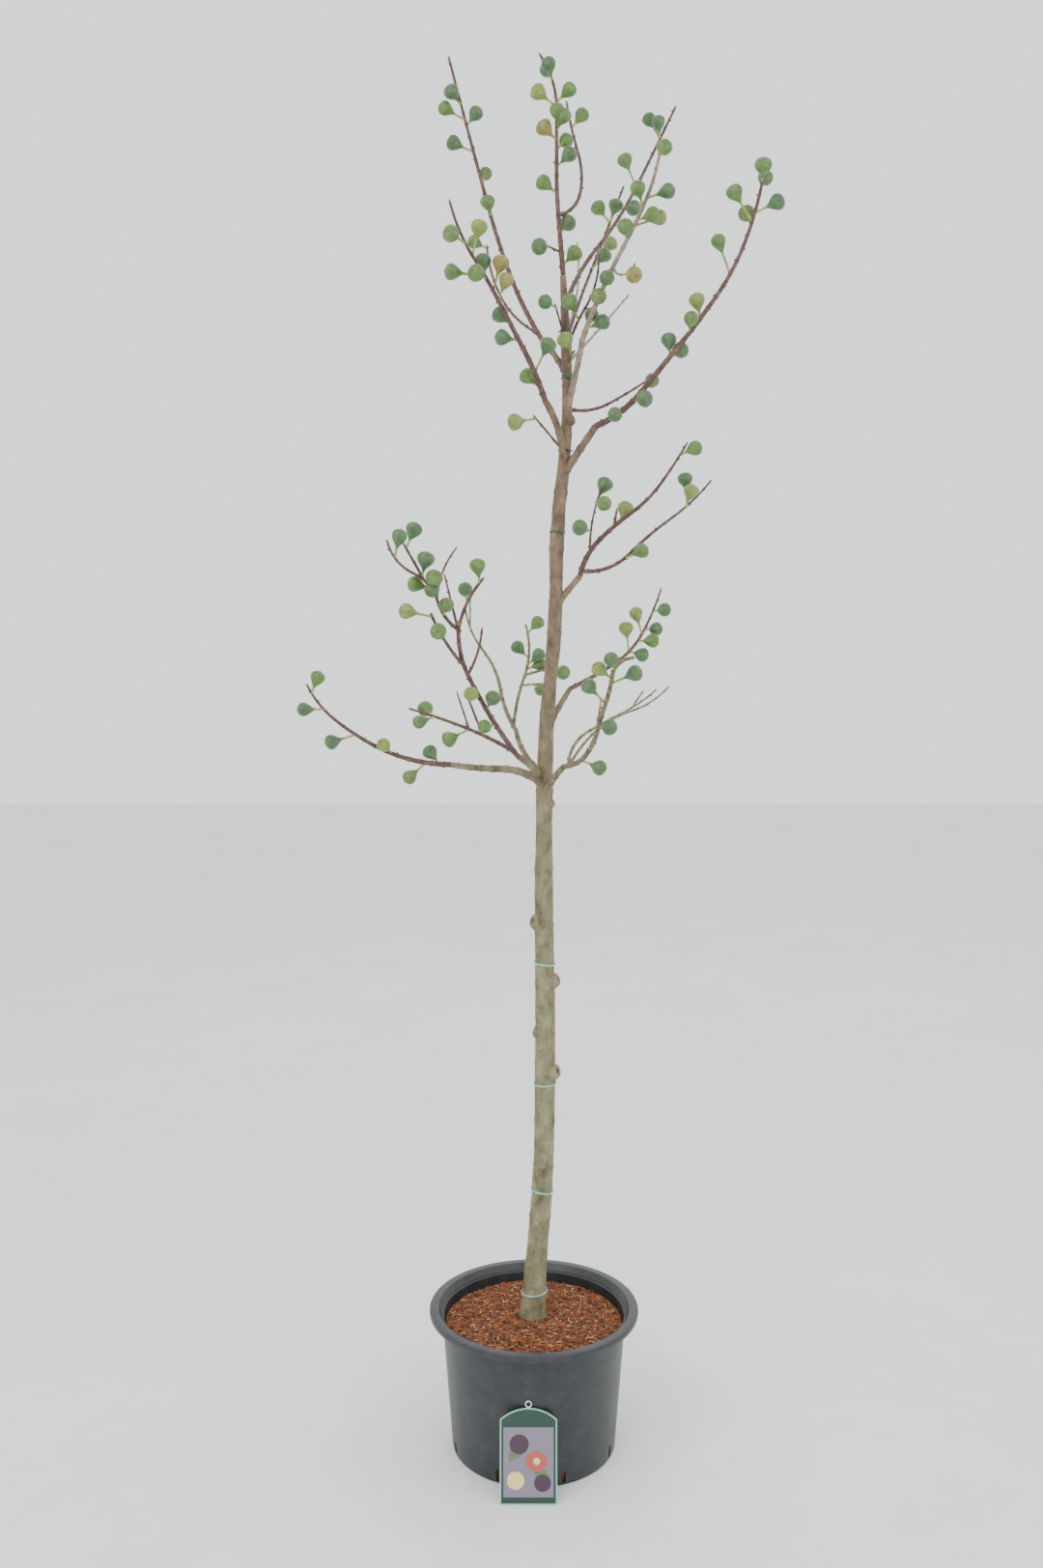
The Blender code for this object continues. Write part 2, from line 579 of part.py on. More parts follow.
def make_limb(plant, limb, finish, first_way=None, bud=BUD_LENGTH, cutters=None):
    """The limb's tube, cut clear of what it leaves and followed by a cutter of its own if cutters are given."""
    axis = plant.axes[limb.name]
    radii = limb_radii(limb)
    count = max(FEWEST_RINGS, round(limb.length / RING_SPACING) + 1)
    shares = np.linspace(0, 1, count)
    points = [point_at(axis, share) for share in shares]
    girths = np.interp(shares, np.linspace(0, 1, STEPS + 1), radii)
    sides = STEM_SIDES if limb.thick >= THICK_SHOOT else TWIG_SIDES
    if not bud:
        sides = BOUGH_SIDES
    made = tube(limb.name, points, girths, sides, finish, first_way=first_way, bud=bud)
    if cutters:
        cut_clear(made, cutters)
        make_clearance(limb.name, points[:FEWEST_RINGS], girths[:FEWEST_RINGS], sides, cutters, finish)
    return made


def make_crown(plant, bark, shoot):
    """The boughs, and then each mass of shoots and figs joined into one solid."""
    cutters = bpy.data.collections.new("clearances")
    bpy.context.scene.collection.children.link(cutters)
    trunk = plant.axes["trunk"]
    heights = [height * MM for height, _ in TRUNK_GIRTHS]
    shares = [min(height / (trunk[-1][2] - trunk[0][2]), 1) for height in heights]
    points = [point_at(trunk, share) for share in shares]
    radii = [float(trunk_radius(height)) for height in heights]
    make_clearance("trunk", points, radii, TRUNK_SIDES, cutters, bark, first_way=(0, 0, 1))
    for name, share, length, headings, swings, thick, thin in BOUGHS:
        limb = Limb(name, name, "trunk", share, length, headings, swings, thick, thin, ())
        plant.add(limb, *settle(plant, limb, point_at(trunk, share)))
        make_limb(plant, limb, bark, bud=0, cutters=cutters)
    for limb in SHOOTS:
        parent = plant.axes[limb.parent]
        start = point_at(parent, limb.share)
        if limb.name == limb.node and limb.share == 1:
            start = start + way_at(parent, 1) * CLEAR
        plant.add(limb, *settle(plant, limb, start))
    rng = random.Random(SEED)
    figs = {limb.name: place_figs(plant, limb, rng) for limb in SHOOTS}
    for node in dict.fromkeys(limb.node for limb in SHOOTS):
        pieces = []
        for limb in (row for row in SHOOTS if row.node == node):
            is_stem = limb.name == node
            on_tip = is_stem and limb.share == 1
            first_way = way_at(plant.axes[limb.parent], 1) if on_tip else None
            on_trunk = is_stem and not on_tip
            pieces.append(make_limb(plant, limb, shoot, first_way, cutters=cutters if on_trunk else None))
            for fig in figs[limb.name]:
                pieces.append(make_fig(len(pieces), *fig, shoot))
        join(pieces[0], pieces[1:])
    for cutter in list(cutters.objects):
        bpy.data.objects.remove(cutter, do_unlink=True)
    bpy.data.collections.remove(cutters)


def main():
    clear_scene()
    plastic = make_material("charcoal_moulded_plastic", (0.020, 0.022, 0.025), 0.45)
    soil = make_material("coir_and_bark_fibre", (0.16, 0.06, 0.025), 0.95)
    bark = make_material("grey_green_bark", (0.19, 0.17, 0.10), 0.8)
    shoot = make_material("shoots_and_green_figs", (0.09, 0.14, 0.05), 0.6)
    card = make_material("coated_card", (0.02, 0.10, 0.05), 0.4)
    wire = make_material("white_nylon", (0.8, 0.8, 0.78), 0.5)
    make_pot(plastic)
    make_soil(soil)
    make_label(card, wire)
    plant = Plant()
    axis = grow(np.array([*TRUNK_START, SOIL_TOP + CLEAR]), TRUNK)
    heights = axis[:, 2] - axis[0][2]
    plant.add(TRUNK, axis, np.array([trunk_radius(height) for height in heights]))
    make_trunk(axis, bark)
    make_crown(plant, bark, shoot)


main()
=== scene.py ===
"""Dresses the potted fig tree: bark, shoots, figs, soil, pot, label, ties and the studio.

Metres, +Z up, the front faces -Y. The limbs grow by the same rule as the solids and end where they end.
"""

from collections import namedtuple
import json
from math import cos, pi, radians, sin
import random

import bmesh
import bpy
from mathutils import Matrix, Vector, noise
import numpy as np

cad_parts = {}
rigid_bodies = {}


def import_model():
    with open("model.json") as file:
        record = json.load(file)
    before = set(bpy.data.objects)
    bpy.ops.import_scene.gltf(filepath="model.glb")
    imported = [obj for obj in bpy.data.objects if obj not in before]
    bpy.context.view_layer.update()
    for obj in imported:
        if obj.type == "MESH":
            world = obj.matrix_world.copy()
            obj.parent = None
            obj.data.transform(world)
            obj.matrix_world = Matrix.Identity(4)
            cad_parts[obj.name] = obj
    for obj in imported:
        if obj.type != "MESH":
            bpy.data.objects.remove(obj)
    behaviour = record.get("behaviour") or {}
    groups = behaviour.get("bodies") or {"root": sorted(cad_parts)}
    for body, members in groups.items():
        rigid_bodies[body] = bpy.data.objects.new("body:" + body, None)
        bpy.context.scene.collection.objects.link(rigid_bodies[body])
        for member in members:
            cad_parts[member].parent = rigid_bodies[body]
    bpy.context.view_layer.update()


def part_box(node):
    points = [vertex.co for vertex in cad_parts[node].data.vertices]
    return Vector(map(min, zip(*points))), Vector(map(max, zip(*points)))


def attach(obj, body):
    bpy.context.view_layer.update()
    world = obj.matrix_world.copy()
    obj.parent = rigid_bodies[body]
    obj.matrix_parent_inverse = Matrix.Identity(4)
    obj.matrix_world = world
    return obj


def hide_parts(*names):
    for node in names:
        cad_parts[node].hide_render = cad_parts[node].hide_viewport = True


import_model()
POT_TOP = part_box("pot")[1].z

bl_info = {
    "name": "Potted fig tree",
    "version": (1, 0, 0),
    "blender": (4, 5, 0),
    "location": "View3D > Sidebar > Fig tree",
    "description": "Makes the bark, shoots, figs, soil, pot and label of a young potted fig tree",
    "category": "Add Mesh",
}

MM = 0.001
CLEAR = 0.3 * MM
SEED = 7

# Growth of the limbs: steps in each, and the leans and turns in degrees tried where a place is taken
STEPS = 24
TRUNK_START = (-0.002, 0.014)
LEANS = (0, 5, -5, 10, -10, 15, -15, 20, -20, 30, -30)
TURNS = (0, 15, -15, 30, -30, 45, -45, 60, -60, 90, -90, 120, -120)
ROOM = 1.5 * MM

# Half the outline of a pruning knob and of its cut face: shares of its radius and of its reach off the trunk
KNOB_OUTLINE = ((1.25, 0.15), (1.05, 0.6), (0.95, 0.88), (0.7, 1), (0, 0.9))
KNOB_CUT_OUTLINE = ((0, 0.85), (0.52, 0.93), (0.3, 1.04), (0, 0.98))
# A knob that stands out by more than this, in millimetres, has a cut face
KNOB_CUT_REACH = 6

# Trunk in millimetres: distance between the rings of its mesh, and a node ring's height, groove and width
TRUNK_RING_GAP = 3.5
NODE_RING = 0.9
NODE_GROOVE = 0.35
NODE_WIDTH = 4.0
# Collar of a bough: share by which it is thicker at its foot, and its reach in metres
COLLAR = 0.35
COLLAR_REACH = 0.018

# Shoots in metres: distance between the rings of their mesh and between their nodes, and a node's reach
SHOOT_RING_GAP = 0.0022
NODE_GAP = 0.021
NODE_REACH = 0.0022
# Degrees round the shoot from one leaf scar to the next
LEAF_TURN = 137.5
# Tip bud: shares of its length and how much thicker it is there than the shoot's tip
BUD_SWELLS = ((-0.15, 0.8), (0.0, 1.02), (0.2, 1.22), (0.45, 1.1), (0.7, 0.7), (0.9, 0.3), (1.0, 0.06))

# A fig in millimetres: how far out its belly, neck, end and stalk reach, and how many degrees off its limb
FIG_BELLY = 29
FIG_BELLY_RADIUS = 13
FIG_NECK = 0.6 * FIG_BELLY
FIG_NECK_RADIUS = 2
FIG_END = 41
FIG_STALK = 11
FIG_SPREAD = 50
FIG_SIZES = (0.90, 1.10)
# Half the outline of a fig's body and of its eye: radius and distance from the limb
FIG_BODY = (
    (0, 8.6), (1.9, 9.0), (2.5, 11.5), (3.9, 14), (5.9, 16.6), (8.2, 19.4), (10.4, 22.4), (12.2, 25.8),
    (13.1, 29.4), (12.9, 32.8), (11.4, 36), (8.6, 38.6), (5.0, 40.1), (2.1, 40.5), (0, 40.2),
)
FIG_EYE = ((0, 40.0), (2.3, 40.3), (2.0, 41.1), (1.1, 41.4), (0.6, 40.9), (0, 40.8))
# Darkest and lightest tone of each skin, and the share of the figs up to which it is dealt out
FIG_SKINS = {
    "blue_green": ("#33502f", "#557544", 0.38),
    "leaf_green": ("#405d2a", "#67853f", 0.80),
    "yellow_green": ("#5c6f2e", "#8a974a", 0.96),
    "ripening": ("#6a672d", "#938747", 1.0),
}

# Pot, with eight drainage slots round its foot
FOOT_RADIUS = 0.149
WALL_TOP_RADIUS = 0.1665
HEEL = 0.0035
LIP_DEPTH = 0.0115
POT_FLOOR = 0.003
SLOT_COUNT = 8
SLOT_START = 245
SLOT_SIZE = (0.016, 0.0075, 0.022)
SLOT_MIDDLE = 0.016
SLOT_ROUNDING = 0.0022

# Soil, highest round the trunk and lowest at the wall. Its top is laid flat before it is shaped.
SOIL_TOP = 0.2355
SOIL_SLOPE = ((0.0, SOIL_TOP), (0.05, SOIL_TOP), (0.11, 0.2345))
SOIL_EDGE_TOP = 0.2315
SOIL_SIDE_TOP = 0.2270
SOIL_FLAT_TOP = 0.232
SOIL_FOOT_RADIUS = 0.144
SOIL_EDGE_HEIGHT = 0.231
SOIL_WALL_GAP = 0.0042
SOIL_RINGS = 46
TRUNK_CLEARING = 0.028
# Darkest and lightest tone of each kind of fibre, and the share of the fibres up to which it is dealt out
FIBRES = {
    "rust": ("#7d3f22", "#b96a38", 0.46),
    "brown": ("#5a3422", "#8a5936", 0.74),
    "dark": ("#20140e", "#3f281b", 0.90),
    "pale": ("#a88660", "#d3b78c", 0.985),
    "yellow": ("#b39a2e", "#d8c65a", 1.0),
}

# Label: a card with an arched top that leans on the pot by its hanging loop
LABEL_FOOT = (-0.0105, -0.1969)
LABEL_LEAN = 11.75
LABEL_HALF_WIDTH = 0.049
LABEL_HEIGHT = 0.160
LABEL_ARCH = 0.019
LABEL_THICK = 0.0012
LOOP_RADIUS = 0.005
LOOP_THICK = 0.00095

# Bands with their height up the trunk and their tilt, and heights of the twisted ties, in millimetres
BANDS = ((46, 2), (239, -3), (438, 1), (658, -2))
BAND_RADIUS = 0.95
BAND_GAP = 1.5
TIES = (1414, 1552, 1672, 1748)
TIE_RADII = (0.9, 0.85, 0.8, 0.7)
TIE_GAP = 1.3

# Lights: place, turn in degrees and size
LIGHTS = {
    "key": ((-1.6, -2.4, 3.4), (48, 0, -34), 2.4),
    "fill": ((2.3, -1.8, 2.2), (62, 0, 52), 2.4),
    "back": ((0.6, 2.6, 3.2), (-45, 0, 12), 2.6),
}
CAMERA_PLACE = (-0.0225, -2.508, 1.511)
CAMERA_DROP = 6.70
CAMERA_LENS = 33.25
CAMERA_SENSOR = 36

# Height above the soil and diameter of the trunk, in millimetres
TRUNK_GIRTHS = (
    (0, 50), (15, 46), (60, 42), (130, 38), (190, 38), (330, 36), (450, 37), (620, 35), (730, 33), (828, 32),
    (902, 28), (966, 30), (1070, 26), (1101, 27), (1157, 23), (1242, 25), (1335, 23), (1386, 25), (1482, 23),
    (1579, 19), (1660, 17), (1720, 18), (1818, 12), (1845, 10),
)
# Pruning knobs and bud scars: height, compass angle, radius and how far each stands out, in millimetres
KNOBS = (
    (286, -100, 7, 3), (456, -30, 12, 9), (530, 190, 10, 3), (622, -15, 11, 9), (729, 205, 12, 8),
    (940, -25, 6, 5), (1101, -70, 7, 3), (1250, -60, 6, 3), (1600, -20, 7, 5),
)
# Heights of the trunk's node rings, in millimetres
TRUNK_NODES = (
    46, 190, 286, 370, 530, 622, 729, 828, 902, 966, 1101, 1242, 1295, 1335, 1386, 1482, 1579, 1660,
    1727, 1787,
)

# A limb leaves its parent at a share of it. Headings are degrees in the front view (0 right, 90 up, 180
# left) and swings degrees away from the front, both spread evenly along the limb. thick and thin are
# diameters in millimetres. A fig is its share of the limb, its clock round it and, where its stalk is
# longer, the extra millimetres.
Limb = namedtuple("Limb", "node name parent share length headings swings thick thin figs")

TRUNK = Limb(
    "trunk", "trunk", None, 0, 1.845, (87, 85, 89, 90, 91, 90, 89, 84, 90, 83, 92, 93), (0,), 46, 10, ()
)

# Boughs on the trunk: name, share, length, headings, swings, thick and thin
BOUGHS = (
    ("low_left", 0.53, 0.170, (140, 180, 170), (0,), 14, 10),
    ("left_outer", 0.53, 0.090, (115, 145), (-30,), 12, 10),
    ("left_inner", 0.54, 0.110, (150, 125, 100), (35,), 10, 8),
    ("low_right", 0.52, 0.090, (70, 50), (-15, -30), 12, 10),
    ("mid_low_right", 0.58, 0.095, (65, 55), (25,), 11, 9),
    ("mid_right", 0.70, 0.065, (50,), (-5,), 11, 10),
    ("high_right", 0.82, 0.100, (55, 55), (-20,), 13, 11.5),
    ("high_left", 0.82, 0.135, (85, 125), (-25,), 12, 11),
    ("top_left", 0.91, 0.090, (115, 130), (25,), 10, 9),
    ("pale_right", 0.88, 0.120, (75, 80), (-25,), 10, 9.5),
)

# The limbs of each mass: name, parent and the rest of a limb's values. A mass is named for its stem.
MASSES = {
    "low_left_shoots": (
        ("low_left_shoots", "low_left", 1, 0.295, (180, 165, 150, 140, 115), (0, -10), 10, 4,
         ((0.96, 0), (0.84, 180, 5), (0.6, -165, 15), (0.36, -60), (0.07, 30), (0.15, -165, 10))),
    ),
    "left_outer_shoots": (
        ("left_outer_shoots", "left_outer", 1, 0.275, (125, 120, 115, 85), (-35, -15), 9, 7,
         ((0.52, -105, 10), (0.42, -30), (0.29, -135))),
        ("right_fork", "left_outer_shoots", 0.97, 0.090, (80, 50), (10,), 6, 5,
         ((0.94, -150), (0.52, 120, 5))),
        ("left_fork", "left_outer_shoots", 0.97, 0.190, (145, 105, 155, 105), (-30, -10), 6, 4,
         ((0.87, 0, 5), (0.45, 150), (0.45, -60, 5), (0.2, -60, 5), (0.39, -90))),
        ("left_twin", "left_fork", 0.55, 0.065, (120,), (10,), 5, 4, ((0.92, 15, 5), (0.12, -30))),
        ("left_twig_a", "left_fork", 0.35, 0.115, (90, 55), (40,), 4, 3, ()),
        ("left_twig_b", "left_outer_shoots", 0.96, 0.105, (105,), (30,), 5, 3, ()),
        ("left_twig_c", "left_outer_shoots", 0.74, 0.125, (130, 110), (-40,), 6, 5,
         ((0.72, -90), (0.98, -180, 15))),
        ("left_twig_d", "left_outer_shoots", 0.68, 0.080, (60, 85), (20,), 5, 4, ()),
        ("left_flat", "left_outer_shoots", 0.04, 0.200, (150, 160, 165), (15,), 8, 4,
         ((0.82, 75), (0.78, -135), (0.45, -165, 10))),
        ("left_flat_twig", "left_flat", 0.45, 0.070, (110,), (30,), 4, 3, ()),
        ("left_flat_twin", "left_flat", 0.32, 0.075, (110,), (-20,), 4, 4, ()),
    ),
    "left_inner_shoots": (
        ("left_inner_shoots", "left_inner", 1, 0.290, (125, 100, 130, 100), (40, 30), 8, 3.5, ()),
        ("left_inner_twig", "left_inner_shoots", 0.87, 0.050, (90,), (20,), 4, 3, ()),
        ("left_rear", "left_inner_shoots", 0.04, 0.195, (85, 70, 105), (25, 20), 6.5, 4,
         ((0.94, 15), (0.69, -180), (0.62, -45), (0.58, 15))),
        ("left_rear_side", "left_rear", 0.52, 0.050, (15,), (10,), 5, 4, ((0.98, 60, 10),)),
        ("left_rear_spur", "left_rear", 0.41, 0.030, (5,), (20,), 4, 3, ((0.82, 60),)),
    ),
    "low_right_shoots": (
        ("low_right_shoots", "low_right", 1, 0.255, (10, 60, 80, 75, 85), (-45, -40), 9, 7,
         ((0.17, -15, 10), (0.54, -45), (0.75, -180, 15), (0.93, 0, 15))),
        ("low_right_up", "low_right_shoots", 0.97, 0.050, (90, 10), (-20,), 6, 5,
         ((0, -165), (0.31, -120, 5))),
        ("low_right_far", "low_right_shoots", 0.04, 0.210, (90, 30, 25, 40), (15,), 6, 3, ()),
        ("low_right_tip", "low_right_far", 0.77, 0.030, (55,), (20,), 3.5, 3, ()),
        ("low_right_twig", "low_right_far", 0.43, 0.045, (80,), (20,), 4, 3.5, ()),
        ("low_right_rear", "low_right_shoots", 0.05, 0.250, (60, 40, 15, 45), (35, 20), 5, 3, ()),
    ),
    "mid_low_right_shoots": (
        ("mid_low_right_shoots", "mid_low_right", 1, 0.285, (25, 30, 60, 70), (25, 30), 8, 3.5,
         ((0.65, -165, 10), (0.49, -180, 15), (0.84, 30), (0.69, 30), (0.59, 0), (0.49, 15))),
    ),
    "mid_right_shoots": (
        ("mid_right_shoots", "mid_right", 1, 0.290, (80, 45, 35, 55, 60), (-20,), 10, 3.5,
         ((0.94, 45), (0.41, 120))),
        ("mid_right_stub", "mid_right_shoots", 0.37, 0.025, (80,), (0,), 5, 4, ()),
        ("mid_right_thin", "mid_right_shoots", 0.16, 0.155, (95, 70), (-55, -40), 4.5, 2.5,
         ((0.34, -150), (0.75, -60), (0.79, 75))),
        ("mid_right_low", "mid_right_shoots", 0.03, 0.325, (-5, 45, 35, 50), (30, 20), 7.5, 3.5,
         ((0.29, -75, 5), (0.79, -135), (0.8, 180, 20))),
    ),
    "high_right_shoots": (
        ("high_right_shoots", "high_right", 1, 0.480, (20, 50, 50, 55, 70, 80), (-20, 0), 11, 5,
         ((0.05, -90), (0.16, -60), (0.2, 90, 5), (0.35, 150), (0.35, 75), (0.45, -120), (0.51, 180),
          (0.68, -180, 25), (0.86, -180, 25), (0.85, 120), (0.89, 0, 10), (0.99, -105), (0.98, 75))),
    ),
    "high_right_thin": (
        ("high_right_thin", "trunk", 0.88, 0.160, (-10, 30, 35), (20,), 6, 4, ()),
    ),
    "high_left_shoots": (
        ("high_left_shoots", "high_left", 1, 0.345, (110, 120, 120, 125, 105), (-30, -15), 10.5, 4,
         ((0.82, -120, 10), (0.76, 15, 15), (0.65, 60), (0.65, -180, 25), (0.64, -120), (0.4, 105),
          (0.32, -180), (0.58, 15, 15), (0.53, -15, 5), (0.15, 0, 20), (0.06, 120, 5))),
    ),
    "high_left_thin": (
        ("high_left_thin", "trunk", 0.84, 0.095, (135,), (-45,), 4.5, 3.5, ((0.97, -180, 10),)),
    ),
    "top_left_shoots": (
        ("top_left_shoots", "top_left", 1, 0.525, (120, 110, 105, 105, 105), (20, 0), 9, 4.5,
         ((0.85, -120), (0.8, -165, 10), (0.78, 15), (0.69, -180, 10), (0.59, 60), (0.46, -90))),
        ("top_left_thin", "top_left_shoots", 0.02, 0.265, (145, 115, 95), (45, 30), 5, 4, ((0.99, 180),)),
    ),
    "leader": (
        ("leader", "trunk", 1, 0.355, (95, 95, 90, 90, 125), (0,), 9.5, 4,
         ((0.88, -90), (0.9, 90), (0.76, -180, 10), (0.78, 0), (0.67, -90), (0.65, -60), (0.61, -165),
          (0.57, 45), (0.49, -15), (0.37, -180), (0.19, 45), (0.04, 0))),
        ("leader_spur", "leader", 0.10, 0.045, (160,), (-20,), 4, 3, ((0.58, -120),)),
        ("leader_bow", "leader", 0.27, 0.260, (25, 80, 105, 100), (45, 5), 6.5, 4, ((0.84, 0),)),
    ),
    "fork_right": (
        ("fork_right", "trunk", 0.97, 0.565, (75, 55, 65, 65), (45, 20), 8, 4.5,
         ((0.87, 180, 15), (0.87, -135), (0.65, -165, 25), (0.57, 60))),
    ),
    "pale_right_shoots": (
        ("pale_right_shoots", "pale_right", 1, 0.305, (70, 65, 60, 65, 80), (-30, -10), 9.5, 5,
         ((0.74, -135, 5), (0.79, 0, 5), (0.67, -30), (0.64, 30, 15), (0.56, -120), (0.2, -90),
          (0.3, -120), (0.04, 135, 5), (0.99, 75), (0.06, 15))),
        ("pale_right_twig", "pale_right_shoots", 0.42, 0.060, (-105, 65), (-40,), 4, 3, ((0.77, -60),)),
    ),
    "upright_rear": (
        ("upright_rear", "trunk", 0.94, 0.465, (75, 70, 70), (55, 25), 6.5, 4,
         ((0.81, 180, 10), (0.82, -90), (0.63, -45), (0.53, -60, 5))),
    ),
    "upright_front": (
        ("upright_front", "trunk", 0.93, 0.190, (75, 55, 95), (-50, -30), 6, 3, ((0.37, -180, 5),)),
    ),
    "low_rear": (
        ("low_rear", "trunk", 0.92, 0.380, (55,), (60, 50), 5, 3, ()),
    ),
    "thin_rear": (
        ("thin_rear", "trunk", 0.95, 0.230, (65, 80, 95), (65, 10), 4, 2.5, ()),
    ),
    "front_left": (
        ("front_left", "trunk", 0.94, 0.065, (110,), (-35,), 4, 3, ((0.99, -120, 15),)),
    ),
    "front_right": (
        ("front_right", "trunk", 0.92, 0.035, (55,), (-60,), 4, 3.5, ((0.87, -180),)),
    ),
}
SHOOTS = [Limb(node, *row) for node, rows in MASSES.items() for row in rows]
# Which shoots are olive or pale. The rest are purple-brown.
OLIVE_NODES = ("left_inner_shoots", "left_inner", "low_right_shoots", "low_right")
PALE_NODES = ("pale_right_shoots", "pale_right", "thin_rear", "low_rear")


def linear(code):
    """The linear colour of an sRGB hex value."""
    parts = [int(code[index:index + 2], 16) / 255 for index in (1, 3, 5)]
    return tuple(part / 12.92 if part <= 0.04045 else ((part + 0.055) / 1.055) ** 2.4 for part in parts)


def size_setting(name, description, default):
    return bpy.props.FloatProperty(name=name, description=description, default=default, min=0, unit="LENGTH")


def share_setting(name, description, default):
    return bpy.props.FloatProperty(
        name=name, description=description, default=default, min=0, max=1, subtype="FACTOR"
    )


def power_setting(name, description, default):
    return bpy.props.FloatProperty(name=name, description=description, default=default, min=0, unit="POWER")


def colour_setting(name, description, code):
    return bpy.props.FloatVectorProperty(
        name=name, description=description, default=linear(code), min=0, max=1, subtype="COLOR"
    )


class WoodSettings(bpy.types.PropertyGroup):
    """Sizes and colours of the trunk, the boughs and the shoots."""

    relief: size_setting("Bark relief", "How far the bark stands out and in", 0.0007)
    node_swell: share_setting("Node swell", "How much thicker a shoot is at its nodes", 0.17)
    bark: colour_setting("Bark", "Main tone of the lower trunk", "#7d775a")
    upper_bark: colour_setting("Upper bark", "Main tone of the trunk in the crown", "#7a6650")
    cut_faces: colour_setting("Cut faces", "Main tone of the pruned knobs' faces", "#5d4632")
    purple: colour_setting("Purple wood", "Main tone of most shoots", "#573b33")
    olive: colour_setting("Olive wood", "Main tone of the olive shoots", "#6b6443")
    pale: colour_setting("Pale wood", "Main tone of the pale shoots", "#847260")
    buds: colour_setting("Buds", "Main tone of the bud scales", "#6d6a34")


class FigSettings(bpy.types.PropertyGroup):
    """Sizes and colours of the figs."""

    ribs: share_setting("Ribs", "How far the ribs stand out, as a share of the radius", 0.018)
    blue_green: colour_setting("Blue-green", "Main tone of the blue-green skins", "#426238")
    leaf_green: colour_setting("Leaf green", "Main tone of the leaf-green skins", "#527031")
    yellow_green: colour_setting("Yellow-green", "Main tone of the yellow-green skins", "#728339")
    ripening: colour_setting("Ripening", "Main tone of the ripening skins", "#807b38")
    stalks: colour_setting("Stalks", "Main tone of the stalks", "#8c9448")
    eyes: colour_setting("Eyes", "Main tone of the scales at the eye", "#7b5330")


class SoilSettings(bpy.types.PropertyGroup):
    """The potting soil and its fibres."""

    fibre_count: bpy.props.IntProperty(
        name="Fibres", description="Number of coir and bark fibres on the soil", default=3200, min=0
    )
    shortest: size_setting("Shortest", "Length of the shortest fibres", 0.003)
    longest: size_setting("Longest", "Length of the longest fibres", 0.015)
    ground: colour_setting("Ground", "Main tone of the soil under the fibres", "#73432b")


class PotSettings(bpy.types.PropertyGroup):
    """Sizes and colour of the pot."""

    height: size_setting("Height", "Height of the pot's lip", POT_TOP)
    rim_radius: size_setting("Rim radius", "Outer radius of the pot's lip", 0.1895)
    plastic: colour_setting("Plastic", "Main tone of the pot", "#26292c")


class LabelSettings(bpy.types.PropertyGroup):
    """Colours of the label's edge, grounds and plain design."""

    mint: colour_setting("Mint", "The card's edge", "#7fcfae")
    green: colour_setting("Green", "The ground inside the edge", "#12352a")
    ground: colour_setting("Ground", "The panel behind the design", "#7b7486")
    leaf: colour_setting("Leaf", "The leaves", "#5c7048")
    purple: colour_setting("Purple", "The dark fruit discs", "#3d2037")
    red: colour_setting("Red", "The red fruit disc", "#b0503f")
    cream: colour_setting("Cream", "The pale discs", "#e2cf86")


class TieSettings(bpy.types.PropertyGroup):
    """Colours of the bands and the twisted ties."""

    mint: colour_setting("Bands", "Light tone of the mint bands", "#9bd3bd")
    green: colour_setting("Ties", "Light tone of the green ties", "#27604c")


class StudioSettings(bpy.types.PropertyGroup):
    """Floor, backdrop and lights."""

    floor: colour_setting("Floor", "Light tone of the floor", "#ebecea")
    backdrop: colour_setting("Backdrop", "Colour of the light all round", "#eff1f2")
    strength: bpy.props.FloatProperty(
        name="Strength", description="Strength of the light all round", default=1.7, min=0
    )
    key: power_setting("Key", "Power of the light from the front left", 55)
    fill: power_setting("Fill", "Power of the light from the front right", 25)
    back: power_setting("Back", "Power of the light from behind", 20)


class FigTreeSettings(bpy.types.PropertyGroup):
    """All settings of the potted fig tree, a group for each kind of piece."""

    wood: bpy.props.PointerProperty(type=WoodSettings, name="Wood", description="Trunk, boughs and shoots")
    figs: bpy.props.PointerProperty(type=FigSettings, name="Figs", description="Figs with stalks and eyes")
    soil: bpy.props.PointerProperty(type=SoilSettings, name="Soil", description="Soil and its fibres")
    pot: bpy.props.PointerProperty(type=PotSettings, name="Pot", description="The nursery pot")
    label: bpy.props.PointerProperty(type=LabelSettings, name="Label", description="The leaning label")
    ties: bpy.props.PointerProperty(type=TieSettings, name="Ties", description="Bands and twisted ties")
    studio: bpy.props.PointerProperty(type=StudioSettings, name="Studio", description="Floor and lights")


def settings():
    return bpy.context.scene.fig_tree


def add_node(tree, kind, sockets=None, stops=(), **options):
    """Adds a node. sockets holds the values of its inputs, or the outputs that feed them.

    stops holds the places and colours of a ramp. A colour is an sRGB hex value or one of the settings.
    """
    made = tree.nodes.new(kind)
    for name, value in options.items():
        setattr(made, name, value)
    for name, value in (sockets or {}).items():
        if isinstance(value, bpy.types.NodeSocket):
            tree.links.new(value, made.inputs[name])
        else:
            made.inputs[name].default_value = value
    if stops:
        elements = made.color_ramp.elements
        for _ in stops[len(elements):]:
            elements.new(0.5)
        for element, (place, tone) in zip(elements, stops):
            element.position = place
            element.color = (*(linear(tone) if isinstance(tone, str) else tone), 1)
    return made


